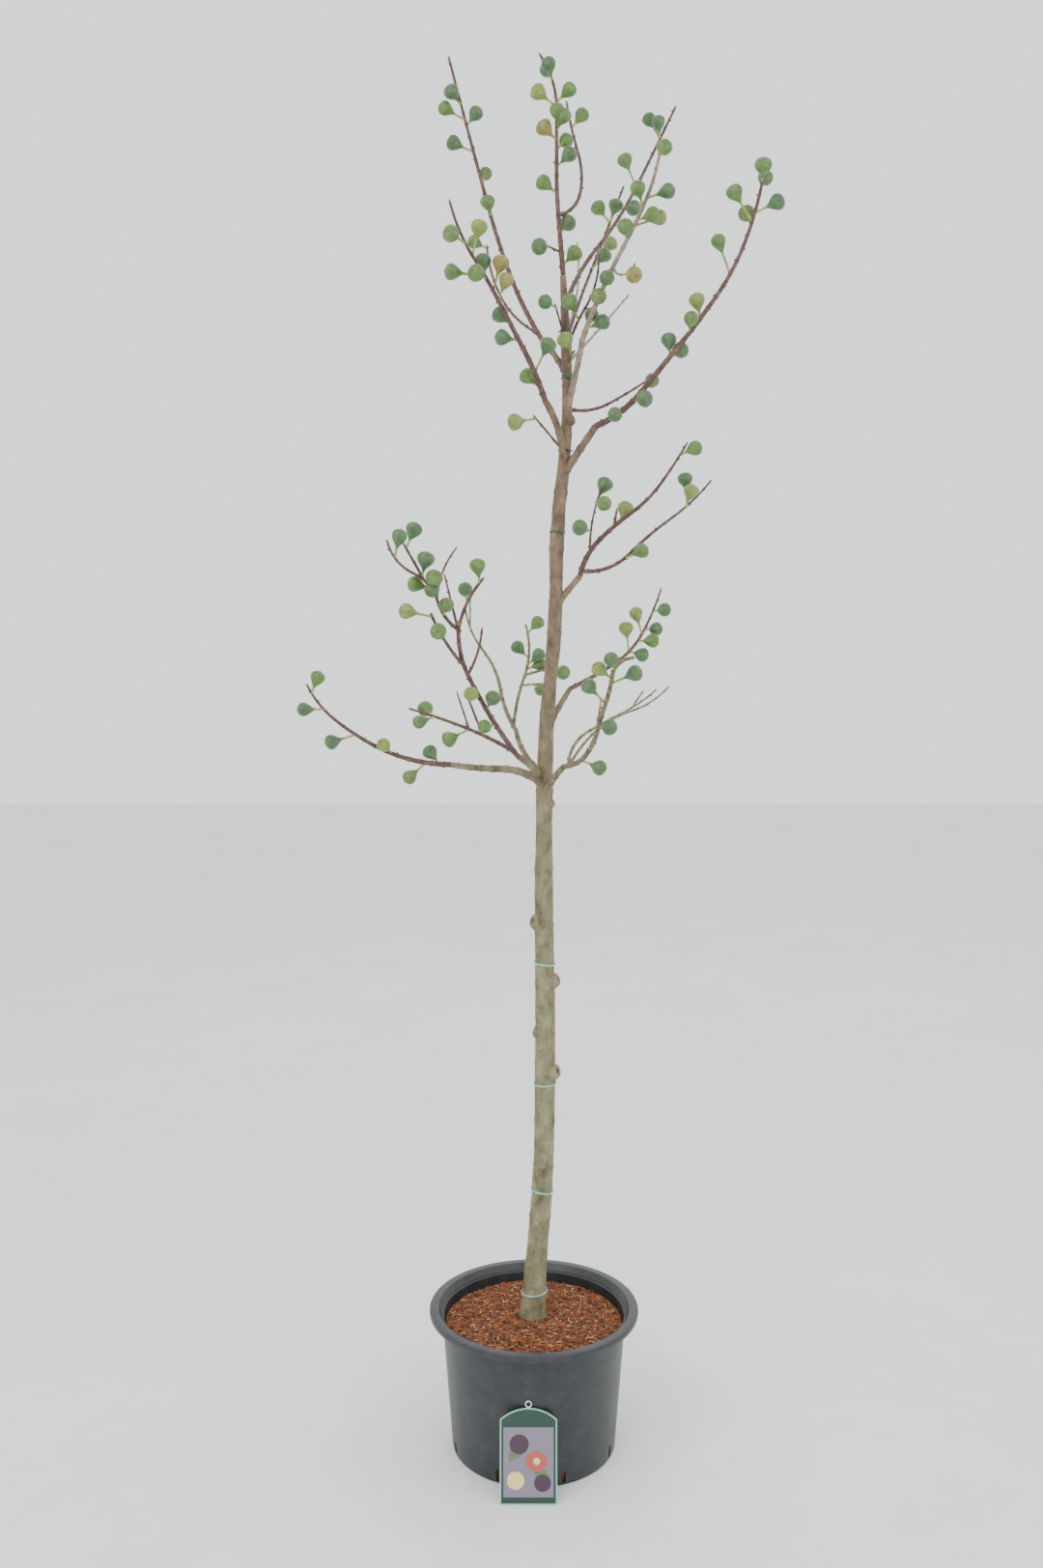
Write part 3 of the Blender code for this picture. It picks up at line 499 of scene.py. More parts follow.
def make_finish(name, stops, patch, grain, roughness, bump=0.0, stretch=1.0, rise=None, extras=None):
    """A mottled surface.

    patch and grain are the sizes in millimetres of its patches and of its fine grain, bump the depth of the
    grain, stretch how much longer both are upwards, rise (from, to, stops) the colours that it turns to with
    height, and extras the shader's other values.
    """
    grain_tone = 0.45
    material = bpy.data.materials.new(name)
    material.use_nodes = True
    tree = material.node_tree
    tree.nodes.clear()
    place = add_node(tree, "ShaderNodeTexCoord").outputs["Object"]
    drawn = add_node(tree, "ShaderNodeMapping", {"Vector": place, "Scale": (1, 1, 1 / stretch)}).outputs[0]
    patches, grains = (
        add_node(
            tree, "ShaderNodeTexNoise",
            {"Vector": drawn, "Scale": 1 / (size * MM), "Detail": detail, "Roughness": rough},
        ).outputs["Fac"]
        for size, detail, rough in ((patch, 5, 0.62), (grain, 3, 0.6))
    )
    fine = add_node(
        tree, "ShaderNodeMath", {0: grains, 1: grain_tone, 2: -grain_tone / 2}, operation="MULTIPLY_ADD"
    ).outputs[0]
    level = add_node(tree, "ShaderNodeMath", {0: patches, 1: fine}, operation="ADD").outputs[0]
    colour = add_node(tree, "ShaderNodeValToRGB", {"Fac": level}, stops).outputs["Color"]
    if rise:
        low, high, upper_stops = rise
        height = add_node(tree, "ShaderNodeSeparateXYZ", {0: place}).outputs["Z"]
        wavy = add_node(
            tree, "ShaderNodeMath", {0: patches, 1: (high - low) / 2, 2: height}, operation="MULTIPLY_ADD"
        ).outputs[0]
        risen = add_node(tree, "ShaderNodeMapRange", {"Value": wavy, "From Min": low, "From Max": high})
        upper = add_node(tree, "ShaderNodeValToRGB", {"Fac": level}, upper_stops).outputs["Color"]
        colour = add_node(
            tree, "ShaderNodeMix", {"Factor": risen.outputs["Result"], 6: colour, 7: upper}, data_type="RGBA"
        ).outputs[2]
    sockets = {"Base Color": colour, "Roughness": roughness, **(extras or {})}
    if bump:
        raised = add_node(tree, "ShaderNodeBump", {"Height": grains, "Distance": bump * MM, "Strength": 0.9})
        sockets["Normal"] = raised.outputs["Normal"]
    shader = add_node(tree, "ShaderNodeBsdfPrincipled", sockets)
    add_node(tree, "ShaderNodeOutputMaterial", {"Surface": shader.outputs["BSDF"]})
    return material


def young_bark():
    """Young fig bark, smooth and unbroken: dull grey-green with olive patches, browner towards the crown."""
    wood = settings().wood
    lower = ((0.30, "#4c4834"), (0.42, "#6d684b"), (0.54, wood.bark), (0.66, "#8f896c"), (0.80, "#a7a187"))
    upper = ((0.30, "#44352a"), (0.45, "#655341"), (0.60, wood.upper_bark), (0.75, "#92836c"))
    return make_finish(
        "young_fig_bark", lower, 22, 1.6, 0.78, bump=0.35, stretch=1.6, rise=(1.0, 1.75, upper)
    )


def young_wood(kind):
    """One-year fig wood, still smooth: a satin skin with fine pale grain over its own colour."""
    wood = settings().wood
    tones = {
        "purple": ((0.3, "#33211d"), (0.5, wood.purple), (0.66, "#6e5145"), (0.8, "#8b7263")),
        "olive": ((0.3, "#45402a"), (0.5, wood.olive), (0.66, "#867e5a"), (0.8, "#9d9475")),
        "pale": ((0.3, "#57483a"), (0.5, wood.pale), (0.66, "#9f8d79"), (0.8, "#b3a490")),
    }
    return make_finish("fig_wood_" + kind, tones[kind], 9, 1.2, 0.62, bump=0.2, stretch=1.4)


def fig_skin(kind):
    """Fig skin: thin and matt with a faint bloom, so highlights are broad and weak."""
    dark, light, _ = FIG_SKINS[kind]
    tones = ((0.3, dark), (0.5, getattr(settings().figs, kind)), (0.7, light))
    return make_finish("fig_skin_" + kind, tones, 11, 1.0, 0.46, bump=0.06, extras={"Sheen Weight": 0.12})


def dealt(kinds, rng):
    """The kind that a random draw deals out, by the shares that stand last in the table."""
    draw = rng.random()
    return next(kind for kind, row in kinds.items() if draw <= row[-1])


def spread(values, shares):
    """The values spread evenly along the shares from 0 to 1."""
    if len(values) == 1:
        return np.full(len(shares), values[0])
    return np.interp(shares, np.linspace(0, 1, len(values)), values)


def grow(start, limb, lean=0):
    """The limb's axis: points that step on from the start by its headings and swings."""
    shares = (np.arange(STEPS) + 0.5) / STEPS
    heading = np.radians(spread(limb.headings, shares))
    swing = np.radians(spread(limb.swings, shares) + lean)
    flat = np.cos(swing)
    ways = np.stack([np.cos(heading) * flat, np.sin(swing), np.sin(heading) * flat], axis=1)
    return np.vstack([start, start + np.cumsum(ways, axis=0) * limb.length / STEPS])


def point_at(axis, share):
    place = min(max(share, 0), 1) * (len(axis) - 1)
    index = min(int(place), len(axis) - 2)
    return axis[index] + (axis[index + 1] - axis[index]) * (place - index)


def way_at(axis, share):
    index = min(int(share * (len(axis) - 1)), len(axis) - 2)
    way = axis[index + 1] - axis[index]
    return way / np.linalg.norm(way)


def trunk_radius(height):
    heights, girths = zip(*TRUNK_GIRTHS)
    return np.interp(height / MM, heights, girths) / 2 * MM


def distance(points, segments):
    """The least distance from the points to the surfaces of the limb segments (starts, ends, radii)."""
    starts, ends, radii = segments
    if not len(starts):
        return np.inf
    runs = ends - starts
    gaps = points[:, None, :] - starts[None]
    along = np.clip((gaps * runs).sum(2) / np.maximum((runs**2).sum(1), 1e-12), 0, 1)
    return (np.linalg.norm(gaps - along[..., None] * runs, axis=2) - radii).min()


def fig_way(axis, share, clock):
    """The way that a fig points from its limb."""
    way = way_at(axis, share)
    across = np.array([way[2], 0, -way[0]])
    across = across / np.linalg.norm(across)
    behind = np.cross(across, way)
    behind = behind if behind[1] > 0 else -behind
    turn = radians(clock)
    lean = radians(FIG_SPREAD)
    return way * cos(lean) + (across * cos(turn) + behind * sin(turn)) * sin(lean)


class Plant:
    """The axes of all limbs and the places of all figs, worked out once."""

    def __init__(self):
        self.axes = {}
        self.placed = []
        axis = grow(np.array([*TRUNK_START, SOIL_TOP + CLEAR]), TRUNK)
        self.add(TRUNK, axis, np.array([trunk_radius(height) for height in axis[:, 2] - axis[0][2]]))
        for name, share, length, headings, swings, thick, thin in BOUGHS:
            limb = Limb(name, name, "trunk", share, length, headings, swings, thick, thin, ())
            self.add(limb, *self.settle(limb, point_at(axis, share)))
        for limb in SHOOTS:
            parent = self.axes[limb.parent]
            start = point_at(parent, limb.share)
            if limb.name == limb.node and limb.share == 1:
                start = start + way_at(parent, 1) * CLEAR
            self.add(limb, *self.settle(limb, start))
        rng = random.Random(SEED)
        self.figs = [fig for limb in SHOOTS for fig in self.place_figs(limb, rng)]

    def add(self, limb, axis, radii):
        self.axes[limb.name] = axis
        self.placed.append((limb.node, axis[:-1], axis[1:], np.maximum(radii[:-1], radii[1:])))

    def others(self, *nodes):
        """The segments (starts, ends, radii) of everything outside these nodes."""
        rows = [row for row in self.placed if row[0] not in nodes]
        return tuple(np.concatenate([row[part] for row in rows] or [[]]) for part in (1, 2, 3))

    def settle(self, limb, start):
        """Grows the limb and leans it away from any other node that it would touch."""
        radii = np.linspace(limb.thick, limb.thin, STEPS + 1) / 2 * MM
        skip = STEPS // 4 if limb.parent == "trunk" else 1
        for lean in LEANS:
            axis = grow(start, limb, lean)
            if distance(axis[skip:], self.others(limb.node, limb.parent)) > radii.max() + ROOM:
                return axis, radii
        return grow(start, limb), radii

    def place_figs(self, limb, rng):
        """Each fig of a limb that finds room, turned round the limb a little where its place is taken."""
        axis = self.axes[limb.name]
        for fig in limb.figs:
            share, clock = fig[:2]
            extra = (fig[2] if len(fig) > 2 else 0) * MM
            size = rng.uniform(*FIG_SIZES)
            root = point_at(axis, share)
            belly_radius = FIG_BELLY_RADIUS * size * MM
            for turn in TURNS:
                way = fig_way(axis, share, clock + turn)
                reaches = np.array([FIG_BELLY, FIG_NECK, FIG_END]) * MM + extra
                belly, neck, end = root + way * reaches[:, None]
                if distance(np.array([belly, neck, end]), self.others(limb.node)) > belly_radius + ROOM:
                    line = np.array([root, belly, end])
                    radii = np.array([FIG_NECK_RADIUS * MM, belly_radius])
                    self.placed.append((limb.node, line[:-1], line[1:], radii))
                    yield root, way, extra, size
                    break


PLANT = Plant()


def turned(profile, steps):
    """A profile of (radius, height) points turned round Z: a shape of its own, with its faces outwards."""
    shape = bmesh.new()
    points = [shape.verts.new((radius, 0, height)) for radius, height in profile]
    edges = [shape.edges.new(pair) for pair in zip(points, points[1:])]
    bmesh.ops.spin(
        shape, geom=points + edges, axis=(0, 0, 1), cent=(0, 0, 0), angle=2 * pi, steps=steps, use_merge=True
    )
    bmesh.ops.remove_doubles(shape, verts=shape.verts, dist=0.01 * MM)
    bmesh.ops.recalc_face_normals(shape, faces=shape.faces)
    return shape


def tube(points, radii, sides, shift=None):
    """A tube through the points, closed at both ends: a straight one is turned and then bent.

    shift(point, outward way) may move each point of its surface outwards.
    """
    last = len(points) - 1
    shape = turned([(0, 0), *((1, ring / last) for ring in range(last + 1)), (0, 1)], sides)
    points = np.asarray(points, float)
    ways = np.gradient(points, axis=0)
    ways /= np.linalg.norm(ways, axis=1)[:, None]
    side = np.cross(ways[0], (0.31, 0.95, 0.05))
    frames = []
    for way in ways:
        side = side - way * side.dot(way)
        side /= np.linalg.norm(side)
        frames.append((side, np.cross(way, side)))
    for corner in shape.verts:
        ring = round(corner.co.z * last)
        side, across = frames[ring]
        outward = side * corner.co.x + across * corner.co.y
        place = points[ring] + radii[ring] * outward
        corner.co = place + outward * shift(place, outward) if shift else place
    return shape


def join(whole, part, matrix=None):
    """Adds a finished part to the shape that it belongs to, moved by the matrix."""
    if matrix:
        bmesh.ops.transform(part, matrix=matrix, verts=part.verts)
    mesh = bpy.data.meshes.new("part")
    part.to_mesh(mesh)
    part.free()
    whole.from_mesh(mesh)
    bpy.data.meshes.remove(mesh)


def show(name, shape, material, nodes=(), smooth=50):
    """Makes a piece of a finished shape, which rides on the part and stands for the given nodes.

    Edges that turn by more than smooth, in degrees, stay sharp.
    """
    mesh = bpy.data.meshes.new(name)
    shape.to_mesh(mesh)
    shape.free()
    mesh.shade_smooth()
    mesh.set_sharp_from_angle(angle=radians(smooth))
    mesh.materials.append(material)
    piece = bpy.data.objects.new(name, mesh)
    bpy.context.scene.collection.objects.link(piece)
    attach(piece, "root")
    if nodes:
        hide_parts(*nodes)
    return piece


def facing(point, way):
    """The matrix that puts local Z along a way at a point."""
    turn = Vector((0, 0, 1)).rotation_difference(Vector(way)).to_matrix().to_4x4()
    return Matrix.Translation(Vector(point)) @ turn


def in_metres(outline, extra=0.0):
    """An outline of (across, along) points in millimetres, moved along by the extra."""
    return [(across * MM, along * MM + extra) for across, along in outline]


def bark_shift(amount):
    """Fine ridges and hollows that run a little along the limb."""
    def shift(spot, outward):
        place = Vector((spot[0] * 110, spot[1] * 110, spot[2] * 38))
        return amount * (noise.noise(place) + 0.5 * noise.noise(place * 3.1))
    return shift


def trunk_tube(relief):
    """The trunk with its taper, its lean and a raised ring with a groove above it at each node."""
    axis = PLANT.axes["trunk"]
    rise = axis[-1][2] - axis[0][2]
    heights = np.arange(0, rise, TRUNK_RING_GAP * MM)
    radii = np.array([trunk_radius(height) for height in heights])
    for node in TRUNK_NODES:
        gap = (heights / MM - node) / NODE_WIDTH
        radii += NODE_RING * MM * np.exp(-gap**2) - NODE_GROOVE * MM * np.exp(-((gap - 2.2) ** 2))
    return tube([point_at(axis, height / rise) for height in heights], radii, 44, bark_shift(relief))


def trunk_middle(height):
    """The middle of the trunk at a height in millimetres."""
    axis = PLANT.axes["trunk"]
    return point_at(axis, height * MM / (axis[-1][2] - axis[0][2]))


class FIGTREE_OT_trunk(bpy.types.Operator):
    """Make the trunk with its pruning knobs and their cut faces"""

    bl_idname = "figtree.trunk"
    bl_label = "Trunk"

    def execute(self, context):
        wood = settings().wood
        bark = young_bark()
        # Dried cut wood: dark, dull and rough across the grain
        tones = ((0.3, "#3a2a1e"), (0.5, wood.cut_faces), (0.7, "#7c624a"))
        heart = make_finish("dried_cut_wood", tones, 4, 0.8, 0.85, bump=0.3)
        show("trunk_bark", trunk_tube(wood.relief), bark, ("trunk",))
        knobs = bmesh.new()
        faces = bmesh.new()
        for height, compass, radius, reach in KNOBS:
            surface = trunk_radius(height * MM) / MM
            out = Vector((cos(radians(compass)), sin(radians(compass)), 0.35)).normalized()
            place = facing(trunk_middle(height), out)
            sunk = [(0, surface * 0.3), (radius * 1.5, surface * 0.45)]
            proud = [(radius * across, surface + reach * along) for across, along in KNOB_OUTLINE]
            join(knobs, turned(in_metres(sunk + proud), 20), place)
            if reach > KNOB_CUT_REACH:
                cut = [(radius * across, surface + reach * along) for across, along in KNOB_CUT_OUTLINE]
                join(faces, turned(in_metres(cut), 16), place)
        show("pruning_knobs", knobs, bark)
        show("knob_cut_faces", faces, heart)
        return {"FINISHED"}


def shoot_profile(length, thick, thin):
    """Shares and radii along a shoot that swells at each node, and the shares of its nodes."""
    shares = np.linspace(0, 1, max(8, round(length / SHOOT_RING_GAP)) + 1)
    radii = np.interp(shares, (0, 1), (thick, thin)) / 2 * MM
    nodes = np.arange(NODE_GAP * 0.6, length, NODE_GAP)
    for node in nodes:
        reach = (shares * length - node) / NODE_REACH
        radii = radii * (1 + settings().wood.node_swell * np.exp(-reach**2))
    return shares, radii, nodes / length


def wood_kind(node):
    return "olive" if node in OLIVE_NODES else "pale" if node in PALE_NODES else "purple"


class FIGTREE_OT_boughs(bpy.types.Operator):
    """Make each bough with the bark's relief, in the colour of its wood"""

    bl_idname = "figtree.boughs"
    bl_label = "Boughs"

    def execute(self, context):
        finishes = {"purple": young_bark(), "olive": young_wood("olive"), "pale": young_wood("pale")}
        shift = bark_shift(settings().wood.relief * 0.6)
        for name, _, length, _, _, thick, thin in BOUGHS:
            shares, radii, _ = shoot_profile(length, thick * 1.04, thin)
            radii = radii * (1 + COLLAR * np.exp(-shares * length / COLLAR_REACH))
            points = [point_at(PLANT.axes[name], share) for share in shares]
            show(name + "_bark", tube(points, radii, 18, shift), finishes[wood_kind(name)], (name,))
        return {"FINISHED"}


def leaf_scar(axis, share, radius, clock):
    """A leaf scar with its side bud: a low nub that leans up the shoot."""
    way = way_at(axis, share)
    side = np.cross(way, (0.2, 0.9, 0.1))
    side /= np.linalg.norm(side)
    turn = radians(clock)
    out = side * cos(turn) + np.cross(way, side) * sin(turn)
    root = point_at(axis, share)
    nub = [root + out * radius * 0.5, root + out * (radius + 0.5 * MM) + way * 0.5 * MM,
           root + out * (radius + 1.3 * MM) + way * 1.8 * MM]
    return tube(nub, (1.7 * MM, 1.5 * MM, 0.5 * MM), 6)


def tip_bud(axis, radius, rng):
    """The long pointed bud that ends each shoot."""
    way = way_at(axis, 1)
    length = rng.uniform(7, 8.8) * MM
    shares, swells = np.transpose(BUD_SWELLS)
    return tube([axis[-1] + way * length * share for share in shares], radius * swells, 8)


class FIGTREE_OT_shoots(bpy.types.Operator):
    """Make all shoots with their node rings, leaf scars and buds, a piece for each colour of wood"""

    bl_idname = "figtree.shoots"
    bl_label = "Shoots"

    def execute(self, context):
        rng = random.Random(SEED + 1)
        buds = bmesh.new()
        for kind in ("purple", "olive", "pale"):
            wood = bmesh.new()
            limbs = [limb for limb in SHOOTS if wood_kind(limb.node) == kind]
            for limb in limbs:
                axis = PLANT.axes[limb.name]
                shares, radii, nodes = shoot_profile(limb.length, limb.thick, limb.thin)
                join(wood, tube([point_at(axis, share) for share in shares], radii, 10))
                for index, share in enumerate(nodes):
                    clock = index * LEAF_TURN + rng.uniform(-20, 20)
                    join(wood, leaf_scar(axis, share, np.interp(share, shares, radii), clock))
                join(buds, tip_bud(axis, limb.thin / 2 * MM, rng))
            nodes = dict.fromkeys(limb.node for limb in limbs)
            show("shoots_" + kind, wood, young_wood(kind), nodes)
        # Bud scales: close-set and satin, olive to yellow-green
        tones = ((0.3, "#4c4327"), (0.5, settings().wood.buds), (0.7, "#8a8a4c"))
        show("tip_buds", buds, make_finish("bud_scales", tones, 3, 0.6, 0.55, bump=0.1))
        return {"FINISHED"}


def fig_body(root, extra, size):
    """A pear-shaped body that points up, with eight faint ribs and a slightly uneven girth."""
    shape = turned(in_metres(FIG_BODY), 16)
    grown = Matrix.Translation((0, 0, extra)) @ Matrix.Diagonal((size, size, 1, 1))
    bmesh.ops.transform(shape, matrix=grown, verts=shape.verts)
    for corner in shape.verts:
        turn = np.arctan2(corner.co.y, corner.co.x)
        uneven = noise.noise(corner.co * 90 + Vector(root) * 50)
        girth = 1 + settings().figs.ribs * cos(8 * turn) + 0.02 * uneven
        corner.co.x *= girth
        corner.co.y *= girth
    return shape


class FIGTREE_OT_figs(bpy.types.Operator):
    """Make the figs with their stalks and eyes, a piece for each colour of skin"""

    bl_idname = "figtree.figs"
    bl_label = "Figs"

    def execute(self, context):
        figs = settings().figs
        rng = random.Random(SEED + 2)
        bodies = {kind: bmesh.new() for kind in FIG_SKINS}
        stalks = bmesh.new()
        eyes = bmesh.new()
        shares = np.linspace(0, 1, 6)
        thickness = np.interp(shares, (0, 0.25, 0.8, 1), (2.6, 1.9, 1.9, 2.4)) * MM
        for root, way, extra, size in PLANT.figs:
            place = facing(root, way)
            join(bodies[dealt(FIG_SKINS, rng)], fig_body(root, extra, size), place)
            length = FIG_STALK * MM + extra
            join(stalks, tube([root + way * length * share for share in shares], thickness, 8))
            join(eyes, turned(in_metres(FIG_EYE, extra), 10), place)
        for kind, shape in bodies.items():
            show("figs_" + kind, shape, fig_skin(kind), smooth=80)
        # Fig stalk: fleshy and satin, a paler green than the fruit
        tones = ((0.3, "#6c7a35"), (0.5, figs.stalks), (0.7, "#a5a65e"))
        show("fig_stalks", stalks, make_finish("fig_stalk", tones, 5, 0.8, 0.55))
        # Scales round the eye: dry, thin and red-brown
        tones = ((0.3, "#4f3320"), (0.5, figs.eyes), (0.7, "#977044"))
        show("fig_eyes", eyes, make_finish("fig_eye_scales", tones, 2, 0.5, 0.6))
        return {"FINISHED"}


def wall_radius(height):
    """The outer radius of the pot's wall at a height."""
    return FOOT_RADIUS + (WALL_TOP_RADIUS - FOOT_RADIUS) * height / (settings().pot.height - LIP_DEPTH)


def soil_height(reach, edge):
    return np.interp(reach, *zip(*SOIL_SLOPE, (edge, SOIL_EDGE_TOP)))


def soil_ground(edge):
    """The filling of the pot, lumpy on top and smooth where the trunk stands."""
    foot = POT_FLOOR + 0.4 * MM
    profile = [(0, foot), (SOIL_FOOT_RADIUS, foot), (edge, SOIL_SIDE_TOP)]
    profile += [(edge * (1 - step / SOIL_RINGS), SOIL_FLAT_TOP) for step in range(SOIL_RINGS + 1)]
    shape = turned(profile, 150)
    for corner in shape.verts:
        if corner.co.z > SOIL_SIDE_TOP + CLEAR:
            reach = corner.co.xy.length
            rough = 1.7 * noise.noise(corner.co * 60) + 1.3 * noise.noise(corner.co * 170)
            corner.co.z = soil_height(reach, edge) - CLEAR + rough * MM * min(1, reach / 0.03)
    return shape


def strew_fibres(edge):
    """Bowed fibres strewn evenly over the soil, clear of the trunk and the wall, a shape for each kind."""
    soil = settings().soil
    rng = random.Random(SEED + 3)
    shapes = {kind: bmesh.new() for kind in FIBRES}
    for _ in range(soil.fibre_count):
        kind = dealt(FIBRES, rng)
        reach = edge * rng.random() ** 0.5 * 0.985
        angle = rng.uniform(0, 2 * pi)
        place = Vector((reach * cos(angle), reach * sin(angle)))
        if (place - Vector(TRUNK_START)).length < TRUNK_CLEARING:
            continue
        length = rng.uniform(soil.shortest, soil.longest)
        turn = rng.uniform(0, 2 * pi)
        half = Vector((cos(turn), sin(turn), rng.uniform(-0.12, 0.2))) * length / 2
        if max((place + half.xy).length, (place - half.xy).length) > edge:
            continue
        middle = Vector((*place, soil_height(reach, edge) + rng.uniform(0.3, 1.6) * MM))
        bow = Vector((-half.y, half.x, 0)) * rng.uniform(-0.35, 0.35)
        bow.z = rng.uniform(0, 1.2) * MM
        thick = rng.uniform(0.35, 1.1) * MM
        fibre = tube([middle - half, middle + bow, middle + half], (thick * 0.6, thick, thick * 0.5), 5)
        join(shapes[kind], fibre)
    return shapes


class FIGTREE_OT_soil(bpy.types.Operator):
    """Make the potting soil with coir and bark fibres strewn on it"""

    bl_idname = "figtree.soil"
    bl_label = "Soil"

    def execute(self, context):
        edge = wall_radius(SOIL_EDGE_HEIGHT) - SOIL_WALL_GAP
        # Moist coir mix: crumbly and dull, with red-brown crumbs mottled in the mix's own tones, and painted
        # shade in the hollows between them, since the fine grain that sets the bump also darkens the colour
        # there
        ground = make_finish(
            "moist_coir_mix",
            ((0.3, "#1d120c"), (0.42, "#43261a"), (0.54, settings().soil.ground), (0.68, "#97603b")),
            9, 1.6, 0.95, bump=1.2,
        )
        show("soil_surface", soil_ground(edge), ground, ("potting_soil",))
        for kind, shape in strew_fibres(edge).items():
            dark, light, _ = FIBRES[kind]
            # Coir and bark fibre: dry, dull and streaked
            fibre = make_finish("coir_fibre_" + kind, ((0.3, dark), (0.7, light)), 6, 1, 0.9)
            show("soil_fibres_" + kind, shape, fibre)
        return {"FINISHED"}


def pot_profile(top, rim):
    """Half the pot's section: from the middle of its foot up its outside, over the lip and down inside."""
    lip = top - LIP_DEPTH
    foot = [(0, 0), (FOOT_RADIUS - 3.5 * MM, 0), (FOOT_RADIUS - MM, 1.2 * MM)]
    wall = [(FOOT_RADIUS + (WALL_TOP_RADIUS - FOOT_RADIUS) * share, HEEL + (lip - HEEL) * share)
            for share in np.linspace(0, 1, 13)]
    roll = [(rim - 2.2 * MM, lip), (rim - 0.8 * MM, lip + 0.7 * MM), (rim, lip + 3 * MM),
            (rim, top - 3.5 * MM), (rim - MM, top - MM), (rim - 3 * MM, top),
            (WALL_TOP_RADIUS + 7 * MM, top), (WALL_TOP_RADIUS + 5.5 * MM, top - 1.5 * MM)]
    inside = [(WALL_TOP_RADIUS, lip - MM), (WALL_TOP_RADIUS - 3 * MM, lip - 3 * MM),
              (FOOT_RADIUS - 3 * MM, POT_FLOOR), (0, POT_FLOOR)]
    return foot + wall + roll + inside


def slot_cutters():
    """A block with rounded upright corners for each drainage slot."""
    shape = bmesh.new()
    for index in range(SLOT_COUNT):
        angle = radians(SLOT_START + index * 360 / SLOT_COUNT)
        place = Matrix.Translation((FOOT_RADIUS * cos(angle), FOOT_RADIUS * sin(angle), SLOT_MIDDLE))
        turn = Matrix.Rotation(angle, 4, "Z")
        made = bmesh.ops.create_cube(shape, size=1, matrix=place @ turn @ Matrix.Diagonal((*SLOT_SIZE, 1)))
        through = [edge for edge in {edge for corner in made["verts"] for edge in corner.link_edges}
                   if abs(edge.calc_length() - SLOT_SIZE[0]) < 0.1 * MM]
        bmesh.ops.bevel(
            shape, geom=through, offset=SLOT_ROUNDING, segments=3, profile=0.5, affect="EDGES", material=-1
        )
    return shape


def cut(piece, shape):
    """Cuts a shape out of a piece for good."""
    mesh = bpy.data.meshes.new("cutter")
    shape.to_mesh(mesh)
    shape.free()
    cutter = bpy.data.objects.new("cutter", mesh)
    bpy.context.scene.collection.objects.link(cutter)
    boolean = piece.modifiers.new("cut", "BOOLEAN")
    boolean.operation = "DIFFERENCE"
    boolean.object = cutter
    boolean.solver = "EXACT"
    bpy.context.view_layer.update()
    evaluated = piece.evaluated_get(bpy.context.evaluated_depsgraph_get())
    piece.data = bpy.data.meshes.new_from_object(evaluated)
    piece.modifiers.clear()
    bpy.data.objects.remove(cutter, do_unlink=True)


class FIGTREE_OT_pot(bpy.types.Operator):
    """Make the pot with its rolled lip and drainage slots"""

    bl_idname = "figtree.pot"
    bl_label = "Pot"

    def execute(self, context):
        pot = settings().pot
        # Moulded polypropylene: near-black and satin, with faint dusty patches
        plastic = make_finish(
            "moulded_polypropylene",
            ((0.25, "#1d1f22"), (0.5, pot.plastic), (0.7, "#2f3235"), (0.86, "#45464a")),
            26, 1.2, 0.42, bump=0.05,
        )
        shell = turned(pot_profile(pot.height, pot.rim_radius), 144)
        cut(show("pot_shell", shell, plastic, ("pot",), smooth=35), slot_cutters())
        return {"FINISHED"}


def label_place():
    """The frame of the leaning label: its foot's middle at the origin, X along it and Z up its face."""
    lean = radians(LABEL_LEAN)
    foot = Matrix.Translation((*LABEL_FOOT, LABEL_THICK * sin(lean) + CLEAR))
    return foot @ Matrix.Rotation(-lean, 4, "X")


def panel(outline, front, back):
    """A flat panel of an outline in X and Z, from its front to its back depth, as a shape of its own."""
    shape = bmesh.new()
    face = shape.faces.new([shape.verts.new((x, front, z)) for x, z in outline])
    moved = bmesh.ops.extrude_face_region(shape, geom=[face])
    corners = [item for item in moved["geom"] if isinstance(item, bmesh.types.BMVert)]
    bmesh.ops.translate(shape, vec=(0, back - front, 0), verts=corners)
    bmesh.ops.recalc_face_normals(shape, faces=shape.faces)
    return shape


def arched(inset):
    """The label's outline, drawn in from its edge."""
    half = LABEL_HALF_WIDTH - inset
    radius = (LABEL_HALF_WIDTH**2 + LABEL_ARCH**2) / (2 * LABEL_ARCH)
    centre = LABEL_HEIGHT - radius
    arch = [(x, centre + ((radius - inset) ** 2 - x**2) ** 0.5) for x in np.linspace(half, -half, 25)]
    return [(-half, inset), (half, inset), *arch]


def disc(x, z, radius, squash=1.0):
    turns = [2 * pi * step / 32 for step in range(32)]
    return [(x + radius * cos(turn), z + radius * squash * sin(turn)) for turn in turns]


def leaf(x, z, length, angle):
    """A plain pointed leaf outline."""
    shares = [step / 9 for step in range(10)]
    upper = [(share, 0.24 * sin(pi * share) ** 0.8) for share in shares[:9]]
    lower = [(share, -0.24 * sin(pi * share) ** 0.8) for share in shares[:0:-1]]
    turn = Matrix.Rotation(angle, 2)
    return [Vector((x, z)) + turn @ Vector(point) * length for point in upper + lower]


